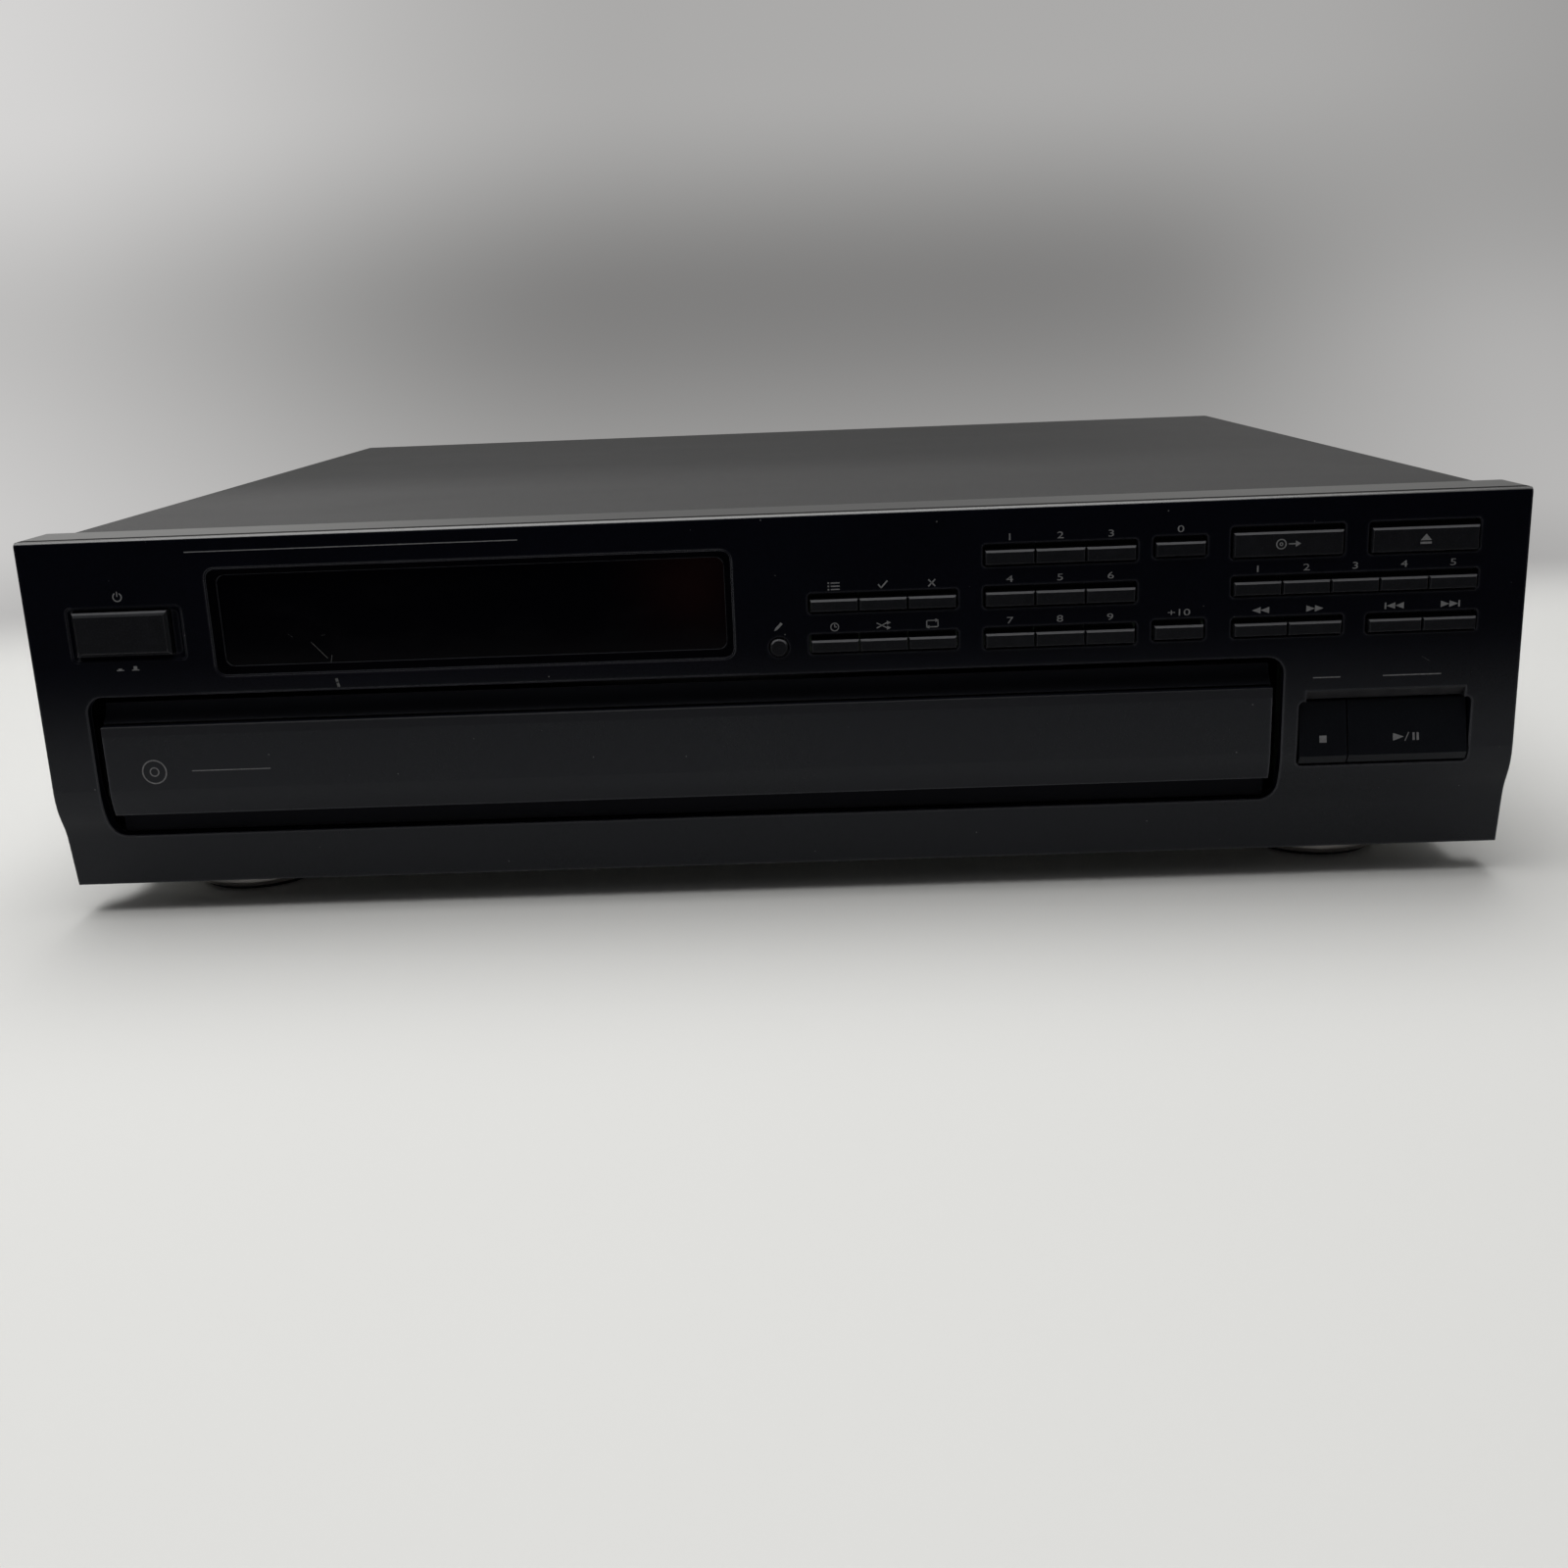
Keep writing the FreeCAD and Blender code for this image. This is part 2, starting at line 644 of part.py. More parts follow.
def panel_shell():
    """The moulded panel: side profile across the width, hollowed from behind."""
    line = cell.panel_lip + cell.lip_line
    profile = (
        (back(cell.lower_back), up(0)),
        (back(cell.panel_depth), up(0)),
        (back(cell.panel_depth), TOP),
        (back(line + cell.lip_line), TOP),
        (back(line + cell.lip_line), TOP - cell.lip_line),
        (back(line), TOP - cell.lip_line),
        (back(line), TOP),
        (back(cell.panel_lip), TOP),
        (back(0), TOP - cell.panel_lip, cell.panel_lip),
        (back(0), up(cell.sweep_top)),
        (back(cell.sweep_bend_back), up(cell.sweep_bend), SWEEP_RADIUS),
        (back(cell.sweep_back), up(cell.sweep_foot), -SWEEP_RADIUS),
    )
    half = cell.panel_width / 2
    body = padded("front_panel_shell", "YZ_Plane", -half, profile, cell.panel_width)
    wall, skin = cell.panel_wall, cell.panel_skin
    hollow = (
        (back(cell.lower_back + wall), up(skin)),
        (back(cell.panel_depth + 1), up(skin)),
        (back(cell.panel_depth + 1), TOP - skin),
        (back(wall), TOP - skin),
        (back(wall), up(cell.sweep_top + 2)),
        (back(cell.sweep_back + wall), up(cell.sweep_foot + 3)),
    )
    offset = skin - half
    pocketed(body, "front_panel_hollow", "YZ_Plane", offset, lambda s: draw_outline(s, hollow),
             cell.panel_width - 2 * skin, True)
    return body


def row_slot(row_name):
    """The slot that one row of keys works in."""
    left, right = getattr(cell, f"{row_name}_left"), getattr(cell, f"{row_name}_right")
    foot, head = row_heights(row_name)
    x = (left - cell.slot_side, right + cell.slot_side)
    z = (foot - cell.slot_foot, head + cell.slot_top)
    slot = span(f"{row_name}_slot_bar", x, (back(-1), back(cell.panel_wall + 1)), z)
    return chamfered(f"{row_name}_slot", slot, 0.6, along(slot, "y"))


def window_recess():
    """Sloped recess that frames the display lens."""
    slope = cell.window_slope
    x = (cell.window_left, cell.window_right)
    z = (up(cell.window_foot), up(cell.window_head))
    funnel = recess("window_recess", x, z, cell.panel_wall, slope, cell.window_corner.value)
    through = span("window_through", (x[0] + slope, x[1] - slope),
                   (back(cell.panel_wall - 0.1), back(cell.panel_wall + 1)), (z[0] + slope, z[1] - slope))
    return [funnel, rounded("window_hole", through, 0.8, along(through, "y"))]


def recess(name, x, z, depth, slope, corner):
    """A recess with sloped sides and rounded corners: a bevelled block turned to face the back."""
    block = bevel_block(f"{name}_block", x, (back(0), back(depth)), z, slope, slope)
    block.Placement.Rotation = Rotation(Vector(0, 0, 1), 180)
    move(block, x[1], back(depth), z[0])
    doc.recompute()
    box = block.Shape.BoundBox

    def slanted(point):
        side = min(point.x - box.XMin, box.XMax - point.x)
        level = min(point.z - box.ZMin, box.ZMax - point.z)
        return abs(side - level) < 1e-3 and side < as_size(slope).value + 1e-3

    return rounded(name, block, corner, slanted)


def power_recess():
    """A shallow dished surround with a hole for the power key."""
    x = (cell.power_left - 1.8, cell.power_right + 4)
    z = (up(cell.power_foot - 1.7), up(cell.power_head + 1.3))
    dish = recess("power_dish", x, z, 1.6, 1.5, 2)
    gap = 0.5
    hole = round_bar("power_hole", (cell.power_left - gap, cell.power_right + gap),
                     (back(-1), back(cell.panel_wall + 1)),
                     (up(cell.power_foot - gap), up(cell.power_head + gap)), 0.8)
    return [dish, hole]


def deck_opening():
    """The opening for the stop and play keys, with a finger scoop above it."""
    x = (cell.deck_left - 0.6, cell.deck_right + 0.6)
    z = (up(cell.deck_foot - 0.6), up(cell.deck_head + 0.5))
    hole = round_bar("deck_hole", x, (back(-1), back(8)), z, 1.5)
    scoop_profile = (
        (back(-1), up(cell.scoop_head)),
        (back(0), up(cell.scoop_head)),
        (back(cell.deck_lean + 0.4), up(cell.deck_head + 0.5)),
        (back(cell.deck_lean + 0.4), up(cell.deck_head - 1)),
        (back(-1), up(cell.deck_head - 1)),
    )
    left = cell.deck_left + 1.5
    scoop = padded("deck_scoop", "YZ_Plane", left, scoop_profile, cell.deck_right - 1.5 - left)
    return [hole, scoop]


def deck_collar():
    """Thicker panel round the stop and play keys, which the scoop is cut into."""
    x = (cell.deck_left - 2.6, cell.deck_right + 2.6)
    return span("deck_collar", x, (back(2), back(6.9)), (up(cell.deck_foot - 2.6), up(cell.scoop_head + 2)))


def side_webs():
    """Webs that close the gap between the panel's side returns and the cover's sides."""
    half, inner = cell.panel_width / 2, cell.cover_width / 2 - 1.4
    y = (back(cell.panel_depth - 1.6), back(cell.panel_depth))
    z = (up(cell.panel_skin - 0.1), TOP - cell.panel_skin + 0.1)
    outer = half - cell.panel_skin + 0.1
    return [span("left_web", (-outer, -inner), y, z), span("right_web", (inner, outer), y, z)]


def make_front_panel():
    y = (back(-2), back(cell.lower_back + cell.panel_wall + 1))
    mouth = round_bar("mouth", (cell.mouth_left, cell.mouth_right), y,
                      (up(cell.mouth_sill), up(cell.mouth_head)), cell.mouth_corner.value)
    edit_hole = rod("edit_hole", cell.edit_radius + 0.3, cell.edit_across, back(-1), up(cell.edit_up), 5, "y")
    tools = [mouth, edit_hole] + window_recess() + power_recess() + deck_opening()
    tools += [row_slot(row[0]) for row in KEY_ROWS]
    solid = join("front_panel_solid", [panel_shell(), deck_collar()] + side_webs())
    cut = take("front_panel_cut", solid, *tools)
    half = cell.panel_width.value / 2 - 1
    panel_low, panel_high = up(cell.sweep_top).value, TOP.value - 2 * cell.panel_lip.value

    def on_face(point):
        inside = abs(point.x) < half and panel_low < point.z < panel_high
        return inside and abs(point.y - FACE.value) < 1e-4

    keep("front_panel", chamfered("front_panel", cut, 0.3, on_face))


def make_display():
    margin = 2
    x = (cell.window_left - margin, cell.window_right + margin)
    z = (up(cell.window_foot - margin), up(cell.window_head - 0.5))
    lens = round_bar("display_window", x, (back(cell.panel_wall), back(cell.panel_wall + 2)), z, 2)
    keep("display_window", lens)
    glass = round_bar("tube_glass", (cell.window_left + 14, cell.window_right - 20), (back(8), back(14)),
                      (up(70), up(93)), 1)
    tip = rod("tube_tip", 1.6, cell.window_right - 20, back(11), up(81), 5, "x")
    keep("display_tube", join("display_tube", [glass, tip]))


def switch(name, x, z):
    """A push switch with a square plunger, on the control board."""
    case = span(f"{name}_case", (x - 3, x + 3), (back(13.6), back(cell.board_back)), (z - 2, z + 2))
    plunger = span(f"{name}_plunger", (x - 1.2, x + 1.2), (back(12.4), back(13.7)), (z - 1.2, z + 1.2))
    return [case, plunger]


def make_control_board():
    """The upright board behind the keys, with one switch for each key, and the display's socket strip."""
    front = cell.board_back
    upper = span("board_upper", (-208, 209), (back(front), back(front + 1.6)), (up(63.5), up(103)))
    lower = span("board_lower", (154, 209), (back(front), back(front + 1.6)), (up(22), up(64)))
    pieces = [upper, lower]
    for row_name, labels, *rest in KEY_ROWS:
        low, high = row_heights(row_name)
        for number, name in enumerate(labels):
            left, right = key_edges(row_name, len(labels), number)
            pieces += switch(f"{name}_switch", (left + right) / 2, (low + high) / 2)
    pieces += switch("edit_switch", cell.edit_across, up(cell.edit_up))
    deck_middle = up((cell.deck_foot + cell.deck_head) / 2)
    pieces += switch("stop_switch", (cell.deck_left + cell.deck_split - cell.key_gap / 2) / 2, deck_middle)
    pieces += switch("play_switch", (cell.deck_right + cell.deck_split + cell.key_gap / 2) / 2, deck_middle)
    strip = (cell.window_left + 16, cell.window_right - 22)
    pieces.append(span("tube_socket", strip, (back(14), back(front)), (up(67.5), up(73))))
    middle = up((cell.power_foot + cell.power_head) / 2)
    pieces.append(span("power_switch", (-200, -183), (back(15), back(front)), (middle - 5, middle + 5)))
    keep("control_board", join("control_board", pieces))


# ---------------------------------------------------------------- casing

def screw(name, x, y, z, axis, turn):
    """A pan-head screw; its head stands on the given point and its shank runs along the axis."""
    piece = doc.addObject("PartDesign::Body", name)
    sketch = body_sketch(piece, "XZ_Plane", 0, f"{name}_profile")
    draw_outline(sketch, ((0, -2), (2.4, -2), (3.4, -0.9), (3.4, 0), (1.5, 0), (1.5, 4.6), (0, 4.6)))
    revolve = piece.newObject("PartDesign::Revolution", f"{name}_turn")
    revolve.Profile = sketch
    revolve.ReferenceAxis = (sketch, ["V_Axis"])
    revolve.Angle = 360
    piece.Placement = Placement(Vector(), Rotation(axis, turn))
    move(piece, x, y, z)
    return piece


SIDE_SCREWS = (60, 325)
REAR_SCREWS = (-180, 0, 180)
SIDE_SCREW_UP = 22
REAR_SCREW_DROP = 6


def make_cover_screws():
    half = cell.cover_width / 2
    screws = []
    for distance in SIDE_SCREWS:
        height = up(SIDE_SCREW_UP)
        screws.append(screw(f"screw_left_{distance}", -half, back(distance), height, Vector(0, 1, 0), 90))
        screws.append(screw(f"screw_right_{distance}", half, back(distance), height, Vector(0, 1, 0), -90))
    for number, across in enumerate(REAR_SCREWS):
        place = (across, back(cell.cover_end + cell.sheet_gauge), TOP - REAR_SCREW_DROP)
        screws.append(screw(f"screw_rear_{number}", *place, Vector(1, 0, 0), 90))
    keep("cover_screws", gather("cover_screws", screws))


def make_top_cover():
    """One folded sheet: top, two sides, and a narrow lip turned down at the back."""
    half, gauge, bend = cell.cover_width / 2, cell.sheet_gauge, cell.cover_bend
    foot = up(cell.cover_gap)
    inner = bend - gauge
    fold = (
        (-half, foot),
        (gauge - half, foot),
        (gauge - half, TOP - bend),
        (bend - half, TOP - gauge, -inner),
        (half - bend, TOP - gauge),
        (half - gauge, TOP - bend, -inner),
        (half - gauge, foot),
        (half, foot),
        (half, TOP - bend),
        (half - bend, TOP, bend),
        (bend - half, TOP),
        (-half, TOP - bend, bend),
    )
    length = cell.cover_end - cell.panel_depth
    sheet_fold = padded("cover_fold", "XZ_Plane", -back(cell.cover_end), fold, length)
    lip = span("cover_lip", (bend - half, half - bend),
               (back(cell.cover_end), back(cell.cover_end + gauge)), (TOP - 12, TOP))
    web = span("cover_lip_web", (bend - half, half - bend),
               (back(cell.cover_end - gauge), back(cell.cover_end + gauge)), (TOP - gauge, TOP))
    holes = []
    for distance in SIDE_SCREWS:
        holes.append(rod(f"cover_hole_{distance}", 1.7, -half - 1, back(distance), up(SIDE_SCREW_UP),
                         cell.cover_width + 2, "x"))
    for number, across in enumerate(REAR_SCREWS):
        holes.append(rod(f"cover_rear_hole_{number}", 1.7, across, back(cell.cover_end - 2),
                         TOP - REAR_SCREW_DROP, 5, "y"))
    keep("top_cover", take("top_cover", join("cover_sheet", [sheet_fold, lip, web]), *holes))


def vent_rows(name, count, x, y, z, step):
    """A row of equal slots; step moves one to the next."""
    slots = []
    for number in range(count):
        shift = [as_size(amount * number) for amount in step]
        slots.append(span(f"{name}_{number}", (x[0] + shift[0], x[1] + shift[0]),
                          (y[0] + shift[1], y[1] + shift[1]), (z[0] + shift[2], z[1] + shift[2])))
    return slots


def make_chassis_pan():
    """A steel pan: floor, two side flanges and a front flange, with ribs, vents and foot holes."""
    half = cell.cover_width / 2 - cell.sheet_gauge - 0.5
    gauge = cell.pan_gauge
    y = (back(cell.panel_depth + 0.3), back(cell.cover_end - cell.sheet_gauge))
    floor = span("pan_floor", (-half, half), y, (up(0), PAN_TOP))
    sides = [span(f"pan_side_{number}", x, y, (up(0), up(27)))
             for number, x in enumerate(((-half, gauge - half), (half - gauge, half)))]
    front = span("pan_front", (-half, half), (y[0], y[0] + gauge), (up(0), up(14)))
    ribs = [span(f"pan_rib_{number}", (-190, 145), (back(distance), back(distance + 8)), (PAN_TOP, PAN_TOP + 1))
            for number, distance in enumerate((110, 200, 280))]
    vents = vent_rows("pan_vent", 9, (160, 200), (back(130), back(133)), (up(-1), PAN_TOP + 1), (0, 7, 0))
    foot_holes = [rod(f"pan_foot_hole_{number}", 2.1, x, y, up(-1), 4)
                  for number, (x, y) in enumerate(foot_places())]
    screw_holes = [rod(f"pan_screw_hole_{distance}", 1.6, -half - 1, back(distance), up(SIDE_SCREW_UP),
                       half * 2 + 2, "x") for distance in SIDE_SCREWS]
    pan = join("pan_sheet", [floor, front] + sides + ribs)
    keep("chassis_pan", take("chassis_pan", pan, *vents, *foot_holes, *screw_holes))


JACK_ACROSS, JACK_UP = 150, 52
GLAND_ACROSS, GLAND_UP = -178, 24


def make_rear_panel():
    """A flat steel back with a folded top flange, a jack window, a cord hole and two rows of vents."""
    half = cell.cover_width / 2 - cell.sheet_gauge - 0.5
    gauge = cell.sheet_gauge
    y = (back(cell.cover_end - gauge), back(cell.cover_end))
    plate_top = TOP - cell.cover_bend
    plate = span("rear_plate", (-half, half), y, (up(0), plate_top))
    flange = span("rear_flange", (-half + 6, half - 6), (back(cell.cover_end - 10), y[1]),
                  (plate_top - gauge, plate_top))
    window = round_bar("jack_window", (JACK_ACROSS - 17, JACK_ACROSS + 17), (y[0] - 1, y[1] + 1),
                       (up(JACK_UP - 9), up(JACK_UP + 9)), 1)
    cord_hole = rod("cord_hole", 6.1, GLAND_ACROSS, y[0] - 1, up(GLAND_UP), 3, "y")
    vents = []
    for level in (76, 88):
        vents += vent_rows(f"rear_vent_{level}", 12, (-100, -96), (y[0] - 1, y[1] + 1),
                           (up(level), up(level + 8)), (9, 0, 0))
    holes = [rod(f"rear_hole_{number}", 1.6, across, y[0] - 1, TOP - REAR_SCREW_DROP, 3, "y")
             for number, across in enumerate(REAR_SCREWS)]
    keep("rear_panel", take("rear_panel", join("rear_sheet", [plate, flange]), window, cord_hole, *vents, *holes))


def make_jack_block():
    """Two phono sockets in one moulded block that stands behind the rear panel."""
    start = back(cell.cover_end)
    end = cell.overall_depth / 2
    flange = round_bar("jack_flange", (JACK_ACROSS - 19, JACK_ACROSS + 19), (start, start + 1.5),
                       (up(JACK_UP - 11), up(JACK_UP + 11)), 2)
    block = span("jack_body", (JACK_ACROSS - 16.5, JACK_ACROSS + 16.5), (start - 14, start + 1),
                 (up(JACK_UP - 8.5), up(JACK_UP + 8.5)))
    pieces = [flange, block]
    bores = []
    for number, across in enumerate((JACK_ACROSS - 8, JACK_ACROSS + 8)):
        pieces.append(rod(f"jack_sleeve_{number}", 4.15, across, start, up(JACK_UP), end - start, "y"))
        bores.append(rod(f"jack_bore_{number}", 1.65, across, start - 1, up(JACK_UP), end - start + 2, "y"))
    keep("jack_block", take("jack_block", join("jack_solid", pieces), *bores))


def make_cord_gland():
    """A flanged bush in the rear panel; the cord itself is not part of the object."""
    start = cell.cover_end - cell.sheet_gauge
    x, z = GLAND_ACROSS, up(GLAND_UP)
    neck = rod("gland_neck", 6, x, back(start - 3), z, 6, "y")
    inner = rod("gland_inner", 7.6, x, back(start - 4), z, 3.8, "y")
    flange = rod("gland_flange", 8, x, back(cell.cover_end), z, 2.2, "y")
    boot = doc.addObject("Part::Cone", "gland_boot")
    boot.Placement = Placement(Vector(), Rotation(Vector(1, 0, 0), -90))
    bind(boot, "Radius1", 5.6)
    bind(boot, "Radius2", 4.2)
    bind(boot, "Height", 6)
    move(boot, x, back(cell.cover_end + 2.2), z)
    keep("cord_gland", join("cord_gland", [neck, inner, flange, boot]))


def foot_places():
    """The four foot centres."""
    across = cell.foot_across
    return [(side * across, back(distance))
            for distance in (cell.foot_back, cell.rear_foot_back) for side in (-1, 1)]


def make_feet():
    radius, height = cell.foot_radius, cell.foot_height
    shell = (
        (2, height), (2, 4.5), (11.5, 4.5), (11.5, 3), (radius - 2.5, 3),
        (radius - 2.5, 1.5), (radius - 1, 1.5), (radius, 3), (radius, height),
    )
    pad = ((13, 0), (radius - 3, 0), (radius - 3, 3), (13, 3))
    shells, pads = [], []
    for number, (x, y) in enumerate(foot_places()):
        shells.append(turned(f"foot_{number}", shell, x, y, 0))
        pads.append(turned(f"foot_pad_{number}", pad, x, y, 0))
    keep("feet", gather("feet", shells))
    keep("foot_pads", gather("foot_pads", pads))


# ---------------------------------------------------------------- electronics

def make_main_board():
    """The signal and servo board on its spacers, to the right of the mechanism."""
    board = span("main_board_plate", (160, 209), (back(45), back(238)), (up(9), up(10.6)))
    pieces = [board]
    for number, (x, distance) in enumerate(((164, 50), (205, 50), (164, 232), (205, 232))):
        pieces.append(rod(f"spacer_{number}", 2.5, x, back(distance), PAN_TOP, up(9.2) - PAN_TOP))
    for number, distance in enumerate((80, 108, 150)):
        pieces.append(span(f"chip_{number}", (172, 190), (back(distance), back(distance + 16)),
                           (up(10.4), up(13.4))))
    for number in range(4):
        pieces.append(rod(f"capacitor_{number}", 5, 200, back(90 + 14 * number), up(10.4), 16))
    sink = [span(f"sink_fin_{number}", (168 + 6 * number, 169.4 + 6 * number), (back(190), back(206)),
                 (up(10.4), up(40))) for number in range(5)]
    pieces += sink + [span("sink_back", (168, 194), (back(204.6), back(206)), (up(10.4), up(40)))]
    keep("main_board", join("main_board", pieces))


def make_transformer():
    """A mains transformer: laminated core, bobbin and winding, on a bracket."""
    x, y = (164, 204), (back(262), back(304))
    bracket = span("core_bracket", (160, 208), y, (PAN_TOP, PAN_TOP + 1.5))
    core = span("core", x, (y[0] + 10, y[1] - 10), (PAN_TOP + 1.5, up(48)))
    coil = round_bar("coil", (x[0] + 7, x[1] - 7), y, (PAN_TOP + 8, up(41)), 4)
    flanges = [span(f"bobbin_{number}", (x[0] + 6, x[1] - 6), limits, (PAN_TOP + 7, up(42)))
               for number, limits in enumerate(((y[0] + 8.6, y[0] + 10), (y[1] - 10, y[1] - 8.6)))]
    keep("transformer", join("transformer", [bracket, core, coil] + flanges))


# ---------------------------------------------------------------- tray and carousel

def make_tray_front():
    """The drawer front: a flush face with the panel's sweep, and a set-back band above it."""
    foot_in = sweep_point(cell.door_foot)
    wall = cell.tray_wall
    end = back(cell.tray_front_back)
    profile = (
        (back(foot_in), up(cell.door_foot), SWEEP_RADIUS),
        (back(cell.band_back), up(cell.door_foot)),
        (back(cell.band_back), up(cell.band_foot)),
        (end, up(cell.band_foot)),
        (end, up(cell.cove_head)),
        (back(6.4), up(cell.cove_head)),
        (back(2.4), up(cell.door_head + 0.6), -9),
        (back(3.4), up(cell.door_head + 0.5)),
        (back(3.4), up(cell.door_head)),
        (back(0.3), up(cell.door_head)),
        (back(0), up(cell.door_head - 0.3)),
        (back(0), up(cell.sweep_top)),
    )
    body = padded("tray_front", "YZ_Plane", cell.door_left, profile, cell.door_right - cell.door_left)
    hollow = (
        (back(foot_in + wall + 0.6), up(cell.door_foot + wall)),
        (end + 1, up(cell.door_foot + wall)),
        (end + 1, up(cell.door_head - wall)),
        (back(wall), up(cell.door_head - wall)),
        (back(wall), up(cell.sweep_top)),
    )
    pocketed(body, "tray_front_hollow", "YZ_Plane", cell.door_left + wall, lambda s: draw_outline(s, hollow),
             cell.door_right - cell.door_left - 2 * wall, True)
    keep("tray_front", body)


def well(name, outer, low, high):
    return rod(name, outer, CENTRE[0], CENTRE[1], low, high - low)


def make_disc_tray():
    """The drawer: a deck with a round well for the carousel, a floor, runners, a rack and an axle."""
    x = (cell.tray_left, cell.tray_right)
    y = (back(cell.tray_front_back), back(cell.tray_end))
    wall, floor, deck = cell.tray_wall, cell.tray_floor, cell.tray_deck
    radius = cell.carousel_radius + 1.6
    block = span("tray_block", x, y, (floor, deck))
    under = span("tray_under", (x[0] + wall, x[1] - wall), (y[0] + wall, y[1] - wall), (floor - 1, deck - wall))
    rim = shared("tray_rim", well("tray_rim_disc", radius + wall, floor, deck), span("tray_rim_box", x, y, (floor, deck)))
    shell = join("tray_shell", [take("tray_skirt", block, under), rim])
    pit = well("tray_pit", radius, floor + wall, deck + 1)
    slot = span("tray_slot", (CENTRE[0] - cell.slot_width / 2, CENTRE[0] + cell.slot_width / 2),
                (back(cell.slot_start), back(cell.tray_end + 1)), (floor - 1, deck + 1))
    hollow = take("tray_hollow", shell, pit, slot)
    runner_z = (floor + 6, floor + 9)
    runners = [span(f"runner_{number}", limits, (y[0] + 4, y[1]), runner_z)
               for number, limits in enumerate(((x[0] - 4, x[0] + 1), (x[1] - 1, x[1] + 4)))]
    post = well("tray_post", 10, floor + wall - 0.2, 46.6)
    axle = well("tray_axle", 6, 46, cell.carousel_top)
    stud = rod("pinion_stud", 2.5, *pinion_place(), floor + wall - 0.2, 50 - floor)
    rack_line = loading_place()[0] - LOADING_RADIUS
    rack = rack_bar("tray_rack", 226, 3, 5.2, rack_phase(), rack_line, back(14), floor - 5)
    keep("disc_tray", join("disc_tray", [hollow, post, axle, stud, rack] + runners))


def loading_place():
    """Axis of the loading gear, under the left front of the tray."""
    return cell.carousel_across - 83, back(40)


def rack_phase():
    """Places a rack gap opposite a tooth of the loading gear, which points at the rack."""
    pitch = math.pi * cell.gear_module.value
    return (loading_place()[1] - back(14)).value % pitch


def pinion_place():
    """Axis of the carousel pinion, in mesh with the ring gear."""
    reach = RING_RADIUS + PINION_RADIUS
    angle = math.radians(PINION_BEARING)
    return CENTRE[0] + reach * math.cos(angle), CENTRE[1] + reach * math.sin(angle)


def draw_spindle_slot(sketch):
    """A round hole for the turntable that runs into the pickup's slot, towards the carousel's axis."""
    hole, half = cell.disc_hole, cell.slot_half
    inner = cell.disc_pitch - 62
    meet = math.sqrt(hole.value ** 2 - half.value ** 2)
    meet = Size(meet, f"sqrt({hole.text}^2 - {half.text}^2)")
    far = cell.disc_pitch + hole
    draw_outline(sketch, (
        (half, inner),
        (half, cell.disc_pitch - meet),
        (hole, cell.disc_pitch, hole),
        (0, far, hole),
        (-hole, cell.disc_pitch, hole),
        (-half, cell.disc_pitch - meet, hole),
        (-half, inner),
    ))


def make_carousel():
    """The five-disc carousel: a turned plate, one disc position cut and repeated, and a ring gear below."""
    radius, top, plate = cell.carousel_radius, cell.carousel_top, cell.carousel_plate
    bore = 6 + FIT
    profile = (
        (bore, -11), (15, -11), (15, -plate), (radius, -plate), (radius, -0.6), (radius - 0.6, 0), (bore, 0),
    )
    body = turned("carousel_plate_body", profile, CENTRE[0], CENTRE[1], top)
    features = [
        pocketed(body, "disc_recess_cut", "XY_Plane", 0,
                 lambda s: draw_circle(s, 0, cell.disc_pitch, cell.disc_radius), cell.disc_recess, False),
        pocketed(body, "small_disc_recess_cut", "XY_Plane", -cell.disc_recess,
                 lambda s: draw_circle(s, 0, cell.disc_pitch, cell.small_disc_radius), 0.8, False),
        pocketed(body, "spindle_slot_cut", "XY_Plane", 0, draw_spindle_slot, plate + 1, False),
    ]
    pattern = body.newObject("PartDesign::PolarPattern", "disc_positions")
    pattern.Originals = features
    pattern.Axis = (features[0].Profile[0], ["N_Axis"])
    pattern.Angle = 360
    pattern.Occurrences = 5
    body.Tip = pattern
    doc.recompute()
    ring = gear_wheel("ring_gear", int(cell.ring_teeth.value), 0, 5.4, CENTRE[0], CENTRE[1], top - 11,
                      bore=33, steps=1)
    web = tube("ring_web", 34.5, 33, CENTRE[0], CENTRE[1], top - 6, 1.2)
    keep("carousel", join("carousel", [body, ring, web]))


def make_carousel_hub():
    """A low cap on the axle that keeps the carousel down, with a sunk middle."""
    profile = ((0, 0), (14, 0), (14, 0.8), (11, 2.9), (5, 2.9), (4, 1.9), (0, 1.9))
    keep("carousel_hub", turned("carousel_hub", profile, CENTRE[0], CENTRE[1], cell.carousel_top + 0.3))


def make_carousel_pinion():
    teeth = int(cell.pinion_teeth.value)
    x, y = pinion_place()
    bearing = PINION_BEARING + 180
    low = cell.carousel_top - 11
    wheel = gear_wheel("pinion_wheel", teeth, bearing, 4.6, x, y, low + 0.2, bore=2.5 + FIT)
    sleeve = tube("pinion_sleeve", 5, 2.5 + FIT, x, y, low - 8, 8.3)
    keep("carousel_pinion", join("carousel_pinion", [wheel, sleeve]))


# ---------------------------------------------------------------- loading mechanism

def make_loading_drive():
    """The geared loading motor on the base, and the gear on its stud that drives the rack."""
    x, y = loading_place()
    base = cell.tray_floor - 5
    can = rod("motor_can", 12, x, y, 15.6, 8.4)
    stud = rod("motor_stud", 2.5, x, y, 23, 10)
    foot = span("motor_foot", (x - 17, x + 17), (y - 6, y + 6), (15.6, 17.6))
    keep("loading_motor", join("loading_motor", [can, stud, foot]))
    wheel = gear_wheel("loading_wheel", int(cell.loading_teeth.value), 180, 4, x, y, base + 0.6, bore=2.5 + FIT)
    flange = tube("loading_flange", 8, 2.5 + FIT, x, y, base - 4.4, 5.2)
    keep("loading_gear", join("loading_gear", [wheel, flange]))


